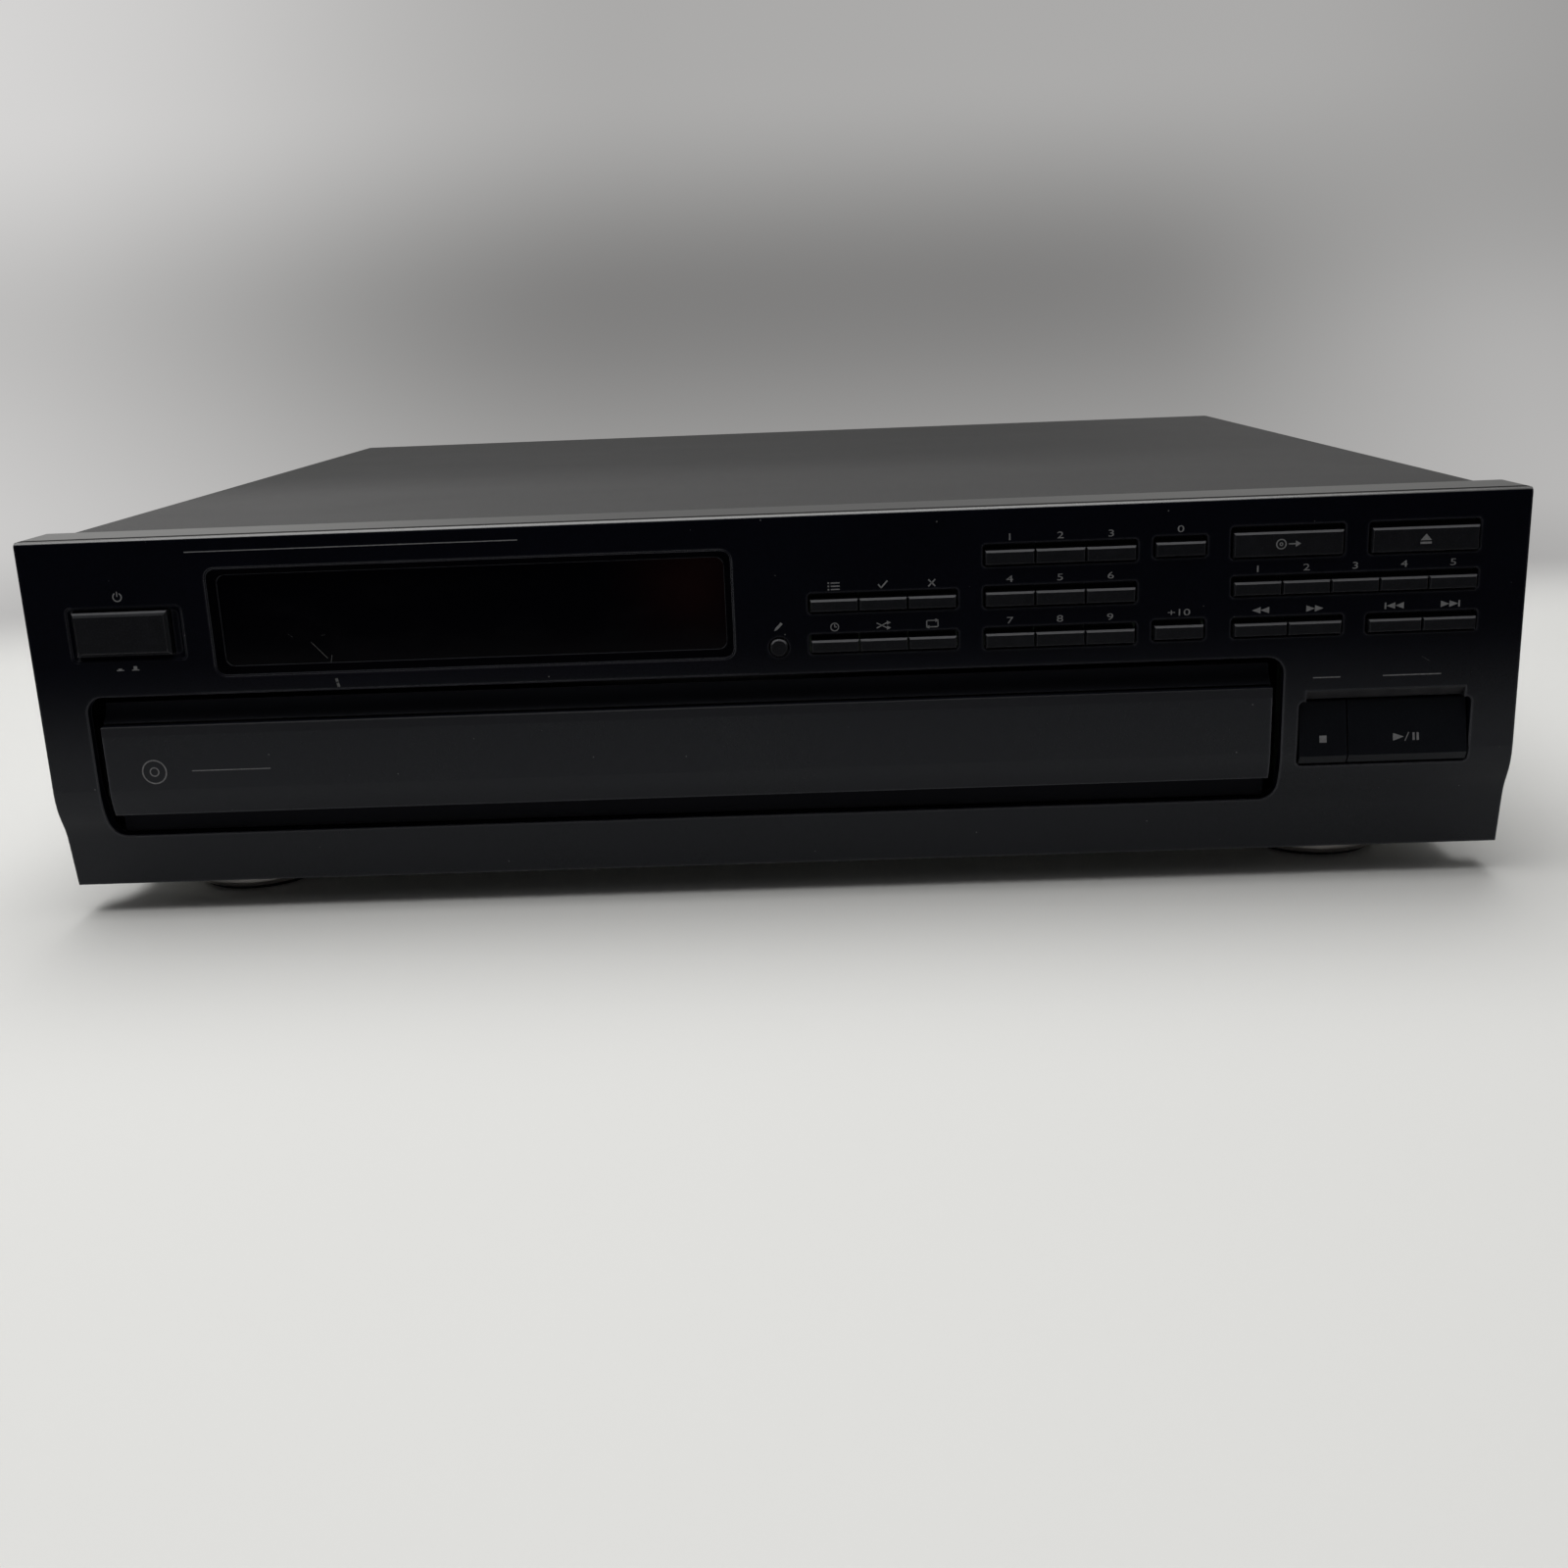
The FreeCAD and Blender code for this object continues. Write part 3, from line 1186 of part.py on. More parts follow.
def rail(name, wall_x, ledge_x):
    """One side rail: a wall with a ledge under the tray's runner and a lip over it."""
    y = (back(26), back(362))
    floor = cell.tray_floor
    return [
        span(f"{name}_wall", wall_x, y, (13.5, 50)),
        span(f"{name}_ledge", ledge_x, y, (floor + 3, floor + 5.6)),
        span(f"{name}_lip", ledge_x, y, (floor + 9.4, floor + 12)),
    ]


def make_mechanism_base():
    """The moulded deck under the tray: an open frame with side rails, feet and hinge posts."""
    left, right = cell.tray_left - 8, cell.tray_right + 8
    y = (back(26), back(364.5))
    plate = span("base_plate", (left, right), y, (13.5, 15.5))
    ring = [
        span("base_window_left", (left + 22, cell.carousel_across - 60), (back(64), back(330)), (12, 17)),
        span("base_window_right", (cell.carousel_across + 60, right - 22), (back(64), back(330)), (12, 17)),
        span("base_window_lifter", (cell.carousel_across - 36, cell.carousel_across + 36),
             (back(222), back(352)), (12, 17)),
    ]
    deck = take("base_deck", plate, *ring)
    pieces = [deck]
    pieces += rail("left_rail", (left, left + 3), (left + 2.9, cell.tray_left - 1.2))
    pieces += rail("right_rail", (right - 3, right), (cell.tray_right + 1.2, right - 2.9))
    for number, (x, distance) in enumerate(((left + 8, 60), (right - 8, 60), (left + 8, 345), (right - 8, 345))):
        pieces.append(rod(f"base_foot_{number}", 4, x, back(distance), PAN_TOP, 13.6 - PAN_TOP))
    for number, side in enumerate((-1, 1)):
        x = cell.carousel_across + side * 43.5
        post = span(f"hinge_post_{number}", (x - 1.5, x + 1.5), (back(357.5), back(364.5)), (15, 46))
        pieces.append(post)
    for number, side in enumerate((-1, 1)):
        x = cell.carousel_across + side * 42
        low = x if side > 0 else x - 3
        pieces.append(rod(f"hinge_boss_{number}", 3.5, low, back(cell.hinge_back), cell.hinge_up, 3, "x"))
    solid = join("base_solid", pieces)
    bore = rod("hinge_bore", 2 + FIT, cell.carousel_across - 60, back(cell.hinge_back), cell.hinge_up, 120, "x")
    keep("mechanism_base", take("mechanism_base", solid, bore))


def peg_place():
    """The lifter's drive peg when the lifter is raised."""
    return cell.carousel_across + 36, back(285), cell.hinge_up


def slider_drop():
    """How far the peg goes down and back between the raised and the lowered lifter."""
    arm = (back(cell.hinge_back) - peg_place()[1]).value
    angle = math.radians(cell.lift_angle.value)
    return arm * math.sin(angle), arm * (1 - math.cos(angle))


def make_lift_slider():
    """A plate that slides front to back; its inclined slot raises the lifter's peg. Built at rest, lowered."""
    x = (cell.carousel_across + 43.2, cell.carousel_across + 45.2)
    drop, shift = slider_drop()
    peg = peg_place()
    travel = cell.slider_travel.value
    low = (peg[1].value + shift, peg[2].value - drop)
    high = (peg[1].value + travel, peg[2].value)
    run = Vector(0, high[0] - low[0], high[1] - low[1])
    reach = 2.2
    unit = Vector(run).normalize()
    ends = [Vector(0, *low) - unit * reach, Vector(0, *high) + unit * reach]
    y = (back(277), back(326))
    plate = span("slider_plate", x, y, (17, 45.5))
    side = Vector(0, -unit.z, unit.y) * 1.85
    corners = [ends[0] + side, ends[1] + side, ends[1] - side, ends[0] - side]
    slot = Part.Face(Part.makePolygon(corners + corners[:1])).extrude(Vector(6, 0, 0))
    slot = shaped("slider_slot", slot)
    move(slot, x[0] - 2, 0, 0)
    runner = span("slider_runner", (x[0], x[1] + 3), y, (17, 19))
    keep("lift_slider", take("lift_slider", join("slider_solid", [plate, runner]), slot))


def lowered(piece):
    """Swings a piece built at the raised height down to its rest place, about the hinge."""
    pivot = Vector(0, back(cell.hinge_back).value, cell.hinge_up.value)
    turn = Rotation(Vector(1, 0, 0), cell.lift_angle.value)
    holder = doc.addObject("Part::Compound", f"{piece.Name}_lowered")
    holder.Links = [piece]
    holder.Placement = Placement(pivot - turn.multVec(pivot), turn)
    return holder


def make_lifter():
    """The hinged frame that carries the turntable and the pickup."""
    middle = cell.carousel_across
    x = (middle - 38, middle + 38)
    y = (back(217), back(364))
    deck = span("lifter_deck", x, y, (40, 42.5))
    walls = [span(f"lifter_wall_{number}", limits, (y[0], back(357)), (36.5, 44))
             for number, limits in enumerate(((x[0], x[0] + 2.5), (x[1] - 2.5, x[1])))]
    front = span("lifter_front", x, (y[0], y[0] + 2.5), (36.5, 44))
    barrel = rod("lifter_barrel", 3.2, x[0], back(cell.hinge_back), cell.hinge_up, x[1] - x[0], "x")
    pin = rod("lifter_pin", 2, x[0] - 6.6, back(cell.hinge_back), cell.hinge_up, x[1] - x[0] + 13.2, "x")
    peg = rod("lifter_peg", 1.5, x[1] - 1, peg_place()[1], peg_place()[2], 8.4, "x")
    motor = rod("spindle_motor", 12, SPINDLE[0], SPINDLE[1], 26, 14.2)
    rods = [rod(f"guide_rod_{number}", 1.5, across, y[0] + 1, 41.2, SPINDLE[1] - 14 - y[0], "y")
            for number, across in enumerate((middle - 24, middle + 24))]
    opening = span("lifter_opening", (middle - 30, middle + 30), (y[0] + 5, SPINDLE[1] - 15), (30, 50))
    stud = rod("spindle_bore", 1.5 + FIT, SPINDLE[0], SPINDLE[1], 34, 12)
    solid = take("lifter_solid", join("lifter_block", [deck, front, motor, barrel] + walls), opening)
    whole = join("lifter_whole", [solid, pin, peg] + rods)
    keep("lifter", lowered(take("lifter_raised", whole, stud)))


def make_turntable():
    """The spindle's turntable, with the cone that centres a disc."""
    top = cell.turntable_top
    radius = cell.turntable_radius
    profile = (
        (0, -17), (1.5, -17), (1.5, -14.4), (8, -14.4), (8, -3), (radius, -2.4), (radius, 0), (7.4, 0),
        (6.6, 1.2), (2.5, 1.9), (0, 1.9),
    )
    keep("turntable", lowered(turned("turntable_raised", profile, SPINDLE[0], SPINDLE[1], top)))


def make_optical_pickup():
    """The pickup on its two rods, at the innermost track."""
    x, y = SPINDLE[0], SPINDLE[1] - cell.pickup_inner
    base = span("pickup_base", (x - 28, x + 28), (y - 7, y + 7), (38, 44.4))
    head = round_bar("pickup_head", (x - 8, x + 8), (y - 6.6, y + 6.6), (44, 51), 1.5, "z")
    lens = rod("pickup_lens", 3.2, x, y, 50.5, 4.4)
    lens = chamfered("pickup_lens_edge", lens, 0.6, lambda p: p.z > 54.8)
    bores = [rod(f"rod_bore_{number}", 1.5 + FIT, across, y - 10, 41.2, 20, "y")
             for number, across in enumerate((x - 24, x + 24))]
    raised = take("pickup_raised", join("pickup_solid", [base, head, lens]), *bores)
    keep("optical_pickup", lowered(raised))


def make_clamper():
    """The bridge over the tray and the puck that presses a raised disc onto the turntable."""
    y = (SPINDLE[1] - 16, SPINDLE[1] + 16)
    left, right = cell.tray_left - 8, cell.tray_right + 8
    beam = span("bridge_beam", (left, right), y, (63, 65.5))
    legs = [span(f"bridge_leg_{number}", limits, y, (50, 65.5))
            for number, limits in enumerate(((left, left + 5), (right - 5, right)))]
    ribs = [span(f"bridge_rib_{number}", (left, right), limits, (65, 71))
            for number, limits in enumerate(((y[0], y[0] + 2), (y[1] - 2, y[1])))]
    hole = rod("bridge_hole", 12.6, SPINDLE[0], SPINDLE[1], 60, 12)
    keep("clamper_bridge", take("clamper_bridge", join("bridge_solid", [beam] + legs + ribs), hole))
    profile = (
        (0, 61.2), (2.6, 61.2), (7.2, 58.9), (14, 58.9), (14, 61.5), (12, 61.5), (12, 65.8), (13.8, 65.8),
        (13.8, 67.6), (6, 67.6), (6, 66), (0, 66),
    )
    shifted = [(r, z - 58.9) for r, z in profile]
    keep("clamper_puck", turned("clamper_puck", shifted, SPINDLE[0], SPINDLE[1], 58.9))


# ---------------------------------------------------------------- build and export

def build():
    make_front_panel()
    make_display()
    make_control_board()
    make_power_button()
    make_edit_button()
    make_key_rows()
    make_deck_keys()
    make_top_cover()
    make_cover_screws()
    make_chassis_pan()
    make_rear_panel()
    make_jack_block()
    make_cord_gland()
    make_feet()
    make_main_board()
    make_transformer()
    make_tray_front()
    make_disc_tray()
    make_carousel()
    make_carousel_hub()
    make_carousel_pinion()
    make_mechanism_base()
    make_loading_drive()
    make_lifter()
    make_lift_slider()
    make_turntable()
    make_optical_pickup()
    make_clamper()


def check():
    doc.recompute()
    for piece in doc.Objects:
        if "Invalid" in piece.State or "Error" in piece.State:
            raise RuntimeError(f"{piece.Name} failed: {piece.State}")
    for name, piece in nodes.items():
        if piece.Shape.isNull() or not piece.Shape.isValid() or not piece.Shape.Solids:
            raise RuntimeError(f"{name} has no valid solid")


def export():
    os.makedirs("parts", exist_ok=True)
    for name, piece in nodes.items():
        piece.Shape.exportStep(f"parts/{name}.step")
        print(f"{name}: {len(piece.Shape.Solids)} solid, {piece.Shape.Volume:.0f} mm3")


build()
check()
export()
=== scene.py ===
import json
import math

import bmesh
import bpy
from bpy.props import FloatProperty, FloatVectorProperty, PointerProperty
from mathutils import Matrix, Vector


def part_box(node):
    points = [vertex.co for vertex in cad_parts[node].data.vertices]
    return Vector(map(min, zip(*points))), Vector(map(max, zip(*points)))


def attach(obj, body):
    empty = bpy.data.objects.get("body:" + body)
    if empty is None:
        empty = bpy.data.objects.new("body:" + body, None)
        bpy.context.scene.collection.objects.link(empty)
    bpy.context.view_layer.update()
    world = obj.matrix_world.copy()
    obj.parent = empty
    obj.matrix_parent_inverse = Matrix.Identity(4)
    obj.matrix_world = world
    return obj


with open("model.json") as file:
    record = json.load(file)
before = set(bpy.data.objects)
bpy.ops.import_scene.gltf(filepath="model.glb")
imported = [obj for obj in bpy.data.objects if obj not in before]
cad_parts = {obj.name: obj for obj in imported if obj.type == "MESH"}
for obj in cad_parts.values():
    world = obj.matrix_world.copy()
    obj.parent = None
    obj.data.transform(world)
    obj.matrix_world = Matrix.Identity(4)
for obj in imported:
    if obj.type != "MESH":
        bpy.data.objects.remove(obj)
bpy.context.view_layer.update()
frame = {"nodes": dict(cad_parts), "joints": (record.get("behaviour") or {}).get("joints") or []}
nodes = frame["nodes"]

bl_info = {
    "name": "Disc changer finish",
    "version": (1, 0, 0),
    "blender": (4, 5, 0),
    "location": "View3D > Sidebar > Disc changer",
    "description": "Finishes, printed marks and small trim for a five-disc carousel changer",
    "category": "Object",
}

# Metres in the frame of the CAD model: +X right, +Y back, +Z up, the table at zero.
MM = 0.001
PANEL_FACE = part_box("tray_front")[0].y
PANEL_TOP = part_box("front_panel")[1].z
POWER_FLANGE = 1.5 * MM
FOOT_RADIUS = 22 * MM
SCREW_HEAD_RADIUS = 3.4 * MM
SIDE_SCREW_SPACING = 0.265
BACK_SCREW_SPACING = 0.18
LIFTER_TILT_AT_REST = math.radians(7)
DISC_PLACES = 5
FIRST_PLACE_TURN = -126
SOFT_RIM = 0.05 * MM
FIGURE_WIDENING = 1.55
FIGURE_SHARE = 0.7
PALE_WALL = (0.73, 0.722, 0.715)
FIGURES = {f"number_{digit}_key": str(digit) for digit in range(10)}
FIGURES["plus_ten_key"] = "+10"
FIGURES.update({f"disc_{digit}_key": str(digit) for digit in range(1, DISC_PLACES + 1)})


# ---- settings

COLOUR = {"subtype": "COLOR", "size": 3, "min": 0, "max": 1}


class CasingSettings(bpy.types.PropertyGroup):
    """Colours and grain of the casing."""

    panel_black: FloatVectorProperty(
        name="Panel black", description="Moulded front panel and drawer front",
        **COLOUR, default=(0.0015, 0.0018, 0.0040))
    key_grey: FloatVectorProperty(
        name="Key grey", description="Moulded keys", **COLOUR, default=(0.0062, 0.0064, 0.0078))
    cover_grey: FloatVectorProperty(
        name="Cover grey", description="Textured paint on the folded cover",
        **COLOUR, default=(0.012, 0.012, 0.012))
    rear_black: FloatVectorProperty(
        name="Rear black", description="Paint on the rear panel", **COLOUR, default=(0.018, 0.018, 0.019))
    paint_grain: FloatProperty(
        name="Paint grain", description="Size of one grain of the cover's textured paint",
        unit="LENGTH", default=0.55 * MM)
    moulding_grain: FloatProperty(
        name="Moulding grain", description="Size of one grain of the moulded plastic's spark texture",
        unit="LENGTH", default=0.35 * MM)


class MarkSettings(bpy.types.PropertyGroup):
    """The printed marks."""

    ink: FloatVectorProperty(
        name="Ink", description="Colour of the printed marks", **COLOUR, default=(0.135, 0.135, 0.14))
    figure_height: FloatProperty(
        name="Figure height", description="Height of a printed figure", unit="LENGTH", default=1.95 * MM)
    mark_lift: FloatProperty(
        name="Mark lift", description="Middle of a mark above the hidden flange of its key",
        unit="LENGTH", default=1.45 * MM)
    ink_thickness: FloatProperty(
        name="Ink thickness", description="How far the ink stands on the plastic",
        unit="LENGTH", default=0.03 * MM)


class ViewSettings(bpy.types.PropertyGroup):
    """The camera."""

    place: FloatVectorProperty(
        name="Place", description="Where the camera stands", subtype="TRANSLATION", size=3,
        default=(0.01601, -0.67163, 0.17171))
    pitch: FloatProperty(
        name="Pitch", description="How far it looks down", subtype="ANGLE", default=math.radians(15.647))
    turn: FloatProperty(
        name="Turn", description="How far it looks left", subtype="ANGLE", default=math.radians(0.999))
    roll: FloatProperty(
        name="Roll", description="How far it leans", subtype="ANGLE", default=math.radians(-1.957))
    lens: FloatProperty(name="Lens", description="Focal length on a 36 mm wide sensor", default=38.0)


class StageSettings(bpy.types.PropertyGroup):
    """Floor, backdrop and light."""

    floor_white: FloatVectorProperty(
        name="Floor white", description="The table", **COLOUR, default=(0.745, 0.742, 0.722))
    wall_grey: FloatVectorProperty(
        name="Wall grey", description="The backdrop where it is evenly lit",
        **COLOUR, default=(0.41, 0.405, 0.40))
    surround_grey: FloatVectorProperty(
        name="Surround grey", description="What the camera sees beyond the table",
        **COLOUR, default=(0.56, 0.555, 0.55))
    ceiling_power: FloatProperty(
        name="Ceiling power", description="Watts of the large soft light", default=20.5)
    sky_level: FloatProperty(
        name="Sky level", description="Brightness of the room straight up", default=0.24)
    horizon_level: FloatProperty(
        name="Horizon level", description="Brightness of the room at eye level", default=0.05)


# ---- shader helpers

class Wire:
    """One output of a shader node. Arithmetic on it adds Math nodes."""

    def __init__(self, look, socket):
        self.look = look
        self.socket = socket

    def math(self, operation, *values):
        return self.look.node("ShaderNodeMath", dict(enumerate(values)), operation=operation)

    def __add__(self, other):
        return self.math("ADD", self, other)

    def __sub__(self, other):
        return self.math("SUBTRACT", self, other)

    def __rsub__(self, other):
        return self.math("SUBTRACT", other, self)

    def __mul__(self, other):
        return self.math("MULTIPLY", self, other)

    __radd__ = __add__

    def absolute(self):
        return self.math("ABSOLUTE", self)

    def larger(self, other):
        return self.math("MAXIMUM", self, other)

    def ramp(self, low, high):
        """0 below low, 1 above high and smooth between; low may be the larger one."""
        inputs = {"Value": self, "From Min": low, "From Max": high}
        return self.look.node("ShaderNodeMapRange", inputs, interpolation_type="SMOOTHSTEP")


class Look:
    """A material or the world being made: its node tree, its shader and its base colour so far."""

    SOCKETS = {"colour": "Base Color", "specular": "Specular IOR Level"}

    def __init__(self, name, world=False):
        group = bpy.data.worlds if world else bpy.data.materials
        self.material = group.new(name)
        self.material.use_nodes = True
        self.tree = self.material.node_tree
        self.shader = self.tree.nodes["Background" if world else "Principled BSDF"]
        self.coordinates = self.normal = self.tone = None

    def node(self, kind, inputs=None, output=0, **settings):
        """Adds a node: first its settings, then the values or links of its sockets."""
        made = self.tree.nodes.new(kind)
        for name, value in settings.items():
            setattr(made, name, value)
        for name, value in (inputs or {}).items():
            self.feed(made.inputs[name], value)
        return Wire(self, made.outputs[output])

    def feed(self, socket, value):
        """Links or sets a socket; a number given as a colour is a grey."""
        if isinstance(value, Wire):
            self.tree.links.new(value.socket, socket)
        elif socket.type == "RGBA":
            colour = value if hasattr(value, "__len__") else (value, value, value)
            socket.default_value = (*colour, 1)
        else:
            socket.default_value = value

    def fill(self, shader, values):
        """Sets sockets by their titles in small letters, or by the names in SOCKETS."""
        for name, value in values.items():
            title = self.SOCKETS.get(name, name.replace("_", " ").title())
            self.feed(shader.inputs[title], value)

    def set(self, **values):
        self.tone = values.get("colour", self.tone)
        self.fill(self.shader, values)

    def tint(self, mask, colour):
        """Lays a colour over the base colour: mask is 1 where it shows."""
        self.set(colour=self.mix(mask, self.tone, colour))

    def place(self):
        """Coordinates in metres that stay with the piece."""
        if self.coordinates is None:
            self.coordinates = self.node("ShaderNodeTexCoord", output="Object")
        return self.coordinates

    def stretched(self, x, y, z):
        return self.node("ShaderNodeMapping", {"Vector": self.place(), "Scale": (x, y, z)})

    def axis(self, name):
        return self.node("ShaderNodeSeparateXYZ", {0: self.place()}, output=name)

    def past(self, axis, place, start, end):
        """0 up to start and 1 from end on: both in millimetres from a place along an axis."""
        return self.axis(axis).ramp(place + start * MM, place + end * MM)

    def vectors(self, operation, first, second, output="Value"):
        return self.node("ShaderNodeVectorMath", {0: first, 1: second}, output, operation=operation)

    def noise(self, size, detail=2.0, place=None):
        """Cloudy noise whose features are about size millimetres across."""
        inputs = {"Vector": place or self.place(), "Scale": 1 / (size * MM), "Detail": detail}
        return self.node("ShaderNodeTexNoise", inputs, output="Fac")

    def cells(self, size, output="Distance"):
        """Distance to the nearest of points about size millimetres apart, or a colour of each."""
        inputs = {"Vector": self.place(), "Scale": 1 / (size * MM)}
        return self.node("ShaderNodeTexVoronoi", inputs, output)

    def mix(self, factor, first, second):
        return self.node("ShaderNodeMix", {0: factor, 6: first, 7: second}, 2, data_type="RGBA")

    def bump(self, height, depth, normal=None):
        """Relief whose height runs from 0 to 1 over depth millimetres."""
        inputs = {"Height": height, "Distance": depth * MM, "Strength": 1.0}
        if normal:
            inputs["Normal"] = normal
        return self.node("ShaderNodeBump", inputs)

    def soft_edges(self, radius):
        """Normals that round sharp edges by a radius in millimetres."""
        return self.node("ShaderNodeBevel", {"Radius": radius * MM}, samples=4)

    def edge_mask(self, radius):
        """1 on sharp edges and 0 on flat faces."""
        flat = self.node("ShaderNodeNewGeometry", output="Normal")
        return self.vectors("DOT_PRODUCT", self.soft_edges(radius), flat).ramp(0.997, 0.88)

    def patch(self, mask, **values):
        """A part of the surface with a sheen of its own: mask is 1 there."""
        other = self.node("ShaderNodeBsdfPrincipled")
        if self.normal:
            values["normal"] = self.normal
        self.fill(other.socket.node, values)
        self.cover(mask, other)

    def cover(self, mask, other):
        """Puts another shader over what reaches the output: mask is 1 where it shows."""
        surface = self.tree.nodes["Material Output"].inputs["Surface"]
        under = Wire(self, surface.links[0].from_socket)
        self.feed(surface, self.node("ShaderNodeMixShader", {0: mask, 1: under, 2: other}))

    def inside(self, axis, low, high):
        """1 between two places along an axis."""
        along = self.axis(axis)
        return along.ramp(low - SOFT_RIM, low) * along.ramp(high + SOFT_RIM, high)

    def over(self, node, left=0, right=0, below=0, above=0):
        """1 in front of a node's box, grown by the four margins."""
        low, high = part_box(node)
        across = self.inside("X", low.x - left, high.x + right)
        return across * self.inside("Z", low.z - below, high.z + above)

    def scratch(self, corner, right, up, length, slope, width=0.14):
        """1 along a scratch: it starts right and up of a corner; lengths in millimetres."""
        forward = Vector((1, 0, slope)).normalized()
        sideways = Vector((slope, 0, -1)).normalized()
        start = Vector((corner.x + right * MM, 0, corner.z + up * MM))
        reach = self.vectors("DOT_PRODUCT", self.place(), tuple(forward)) - start.dot(forward)
        aside = self.vectors("DOT_PRODUCT", self.place(), tuple(sideways)) - start.dot(sideways)
        width, length, fade = width * MM, length * MM, 0.3 * MM
        line = aside.absolute().ramp(width, width * 0.4)
        return line * reach.ramp(0, fade) * reach.ramp(length, length - fade)

    def specks(self, size, share):
        """Scattered dust specks; share is the part of a cell that one fills."""
        return self.cells(size).ramp(share, share * 0.6)

    def done(self, *names):
        """Gives the material to CAD nodes."""
        for name in names:
            slots = nodes[name].data.materials
            slots.clear()
            slots.append(self.material)


def tinted(colour, factor):
    return tuple(min(channel * factor, 1) for channel in colour)


# ---- mesh helpers

def middle_of(node):
    low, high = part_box(node)
    return (low + high) / 2


def add_object(name, data):
    made = bpy.data.objects.new(name, data)
    bpy.context.scene.collection.objects.link(made)
    return made


def mesh_data(name, mesh, material):
    data = bpy.data.meshes.new(name)
    mesh.to_mesh(data)
    mesh.free()
    data.materials.append(material)
    return data


def add_trim(name, mesh, material, body):
    """Closed forms as one piece that rides on a body."""
    bmesh.ops.recalc_face_normals(mesh, faces=mesh.faces)
    piece = add_object(name, mesh_data(name, mesh, material))
    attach(piece, body)


def prism(mesh, outline, thickness, matrix):
    """A flat plate: the outline is in x and y in millimetres, and the plate is raised along z."""
    scaled = matrix @ Matrix.Diagonal((MM, MM, 1, 1))
    low = [mesh.verts.new(scaled @ Vector((x, y, 0))) for x, y in outline]
    high = [mesh.verts.new(scaled @ Vector((x, y, thickness))) for x, y in outline]
    mesh.faces.new(high)
    mesh.faces.new(low[::-1])
    for number in range(len(outline)):
        before = number - 1
        mesh.faces.new((low[before], low[number], high[number], high[before]))


def lathe(mesh, profile, matrix, steps=40):
    """A closed ring turned round z: profile is a closed outline of (radius, height) in millimetres."""
    rings = []
    for step in range(steps):
        angle = 2 * math.pi * step / steps
        across = Vector((math.cos(angle), math.sin(angle), 0))
        rings.append([mesh.verts.new(matrix @ (across * radius * MM + Vector((0, 0, height * MM))))
                      for radius, height in profile])
    for number, ring in enumerate(rings):
        before = rings[number - 1]
        for corner in range(len(profile)):
            last = corner - 1
            mesh.faces.new((before[last], ring[last], ring[corner], before[corner]))


# ---- printed marks: lists of outlines in millimetres round the mark's own middle

def bar(x, y, wide, tall):
    """A rectangle round a middle, as an outline."""
    return [(x - wide / 2, y - tall / 2), (x + wide / 2, y - tall / 2),
            (x + wide / 2, y + tall / 2), (x - wide / 2, y + tall / 2)]


def arrow_head(x, y, wide, tall):
    """A triangle that points right, or left where wide is negative."""
    outline = [(x - wide / 2, y - tall / 2), (x + wide / 2, y), (x - wide / 2, y + tall / 2)]
    return outline if wide > 0 else outline[::-1]


def stroke(start, end, width):
    """A straight line of ink."""
    first, last = Vector(start), Vector(end)
    side = (last - first).orthogonal().normalized() * width / 2
    return [tuple(first - side), tuple(last - side), tuple(last + side), tuple(first + side)][::-1]


def arc(x, y, radius, width, start=0, end=360, steps=24):
    """A bent line of ink, as short four-sided pieces; angles in degrees."""
    angles = [math.radians(start + (end - start) * step / steps) for step in range(steps + 1)]
    inner, outer = [[(x + reach * math.cos(angle), y + reach * math.sin(angle)) for angle in angles]
                    for reach in (radius - width / 2, radius + width / 2)]
    return [[inner[step], outer[step], outer[step + 1], inner[step + 1]] for step in range(steps)]


def search_mark(side):
    return [arrow_head(-1.25 * side, 0, 2.5 * side, 1.9), arrow_head(1.25 * side, 0, 2.5 * side, 1.9)]


def skip_mark(side):
    return search_mark(side) + [bar(2.8 * side, 0, 0.5, 1.9)]


def list_mark():
    lines = [bar(0.5, level, 2.6, 0.34) for level in (-0.95, 0, 0.95)]
    return lines + [bar(-1.5, level, 0.45, 0.45) for level in (-0.95, 0, 0.95)]


def rule_mark(length, width=0.32):
    return [bar(0, 0, length, width)]


TICK_MARK = [stroke((-1.3, 0.1), (-0.4, -1.0), 0.4), stroke((-0.5, -1.0), (1.4, 1.1), 0.4)]
CROSS_MARK = [stroke((-1.0, -1.0), (1.0, 1.0), 0.4), stroke((-1.0, 1.0), (1.0, -1.0), 0.4)]
CLOCK_MARK = arc(0, 0, 1.15, 0.3) + [bar(0, 0.35, 0.3, 0.8), bar(0.3, 0, 0.75, 0.3)]
SHUFFLE_MARK = [stroke((-2.0, -0.75), (1.0, 0.75), 0.32), stroke((-2.0, 0.75), (1.0, -0.75), 0.32),
                arrow_head(1.6, 0.75, 1.2, 1.2), arrow_head(1.6, -0.75, 1.2, 1.2)]
LOOP_MARK = [bar(-0.2, 0.95, 2.6, 0.32), bar(0.2, -0.95, 2.6, 0.32), bar(-1.65, 0.1, 0.32, 1.6),
             bar(1.65, -0.1, 0.32, 1.6), arrow_head(1.4, 0.95, 1.1, 1.1),
             arrow_head(-1.4, -0.95, -1.1, 1.1)]
PENCIL_MARK = [stroke((-0.6, -0.5), (1.0, 1.1), 0.75), [(-1.25, -1.15), (-0.35, -0.8), (-0.9, -0.25)]]
POWER_MARK = arc(0, 0, 1.25, 0.34, 120, 420) + [bar(0, 0.85, 0.34, 1.5)]
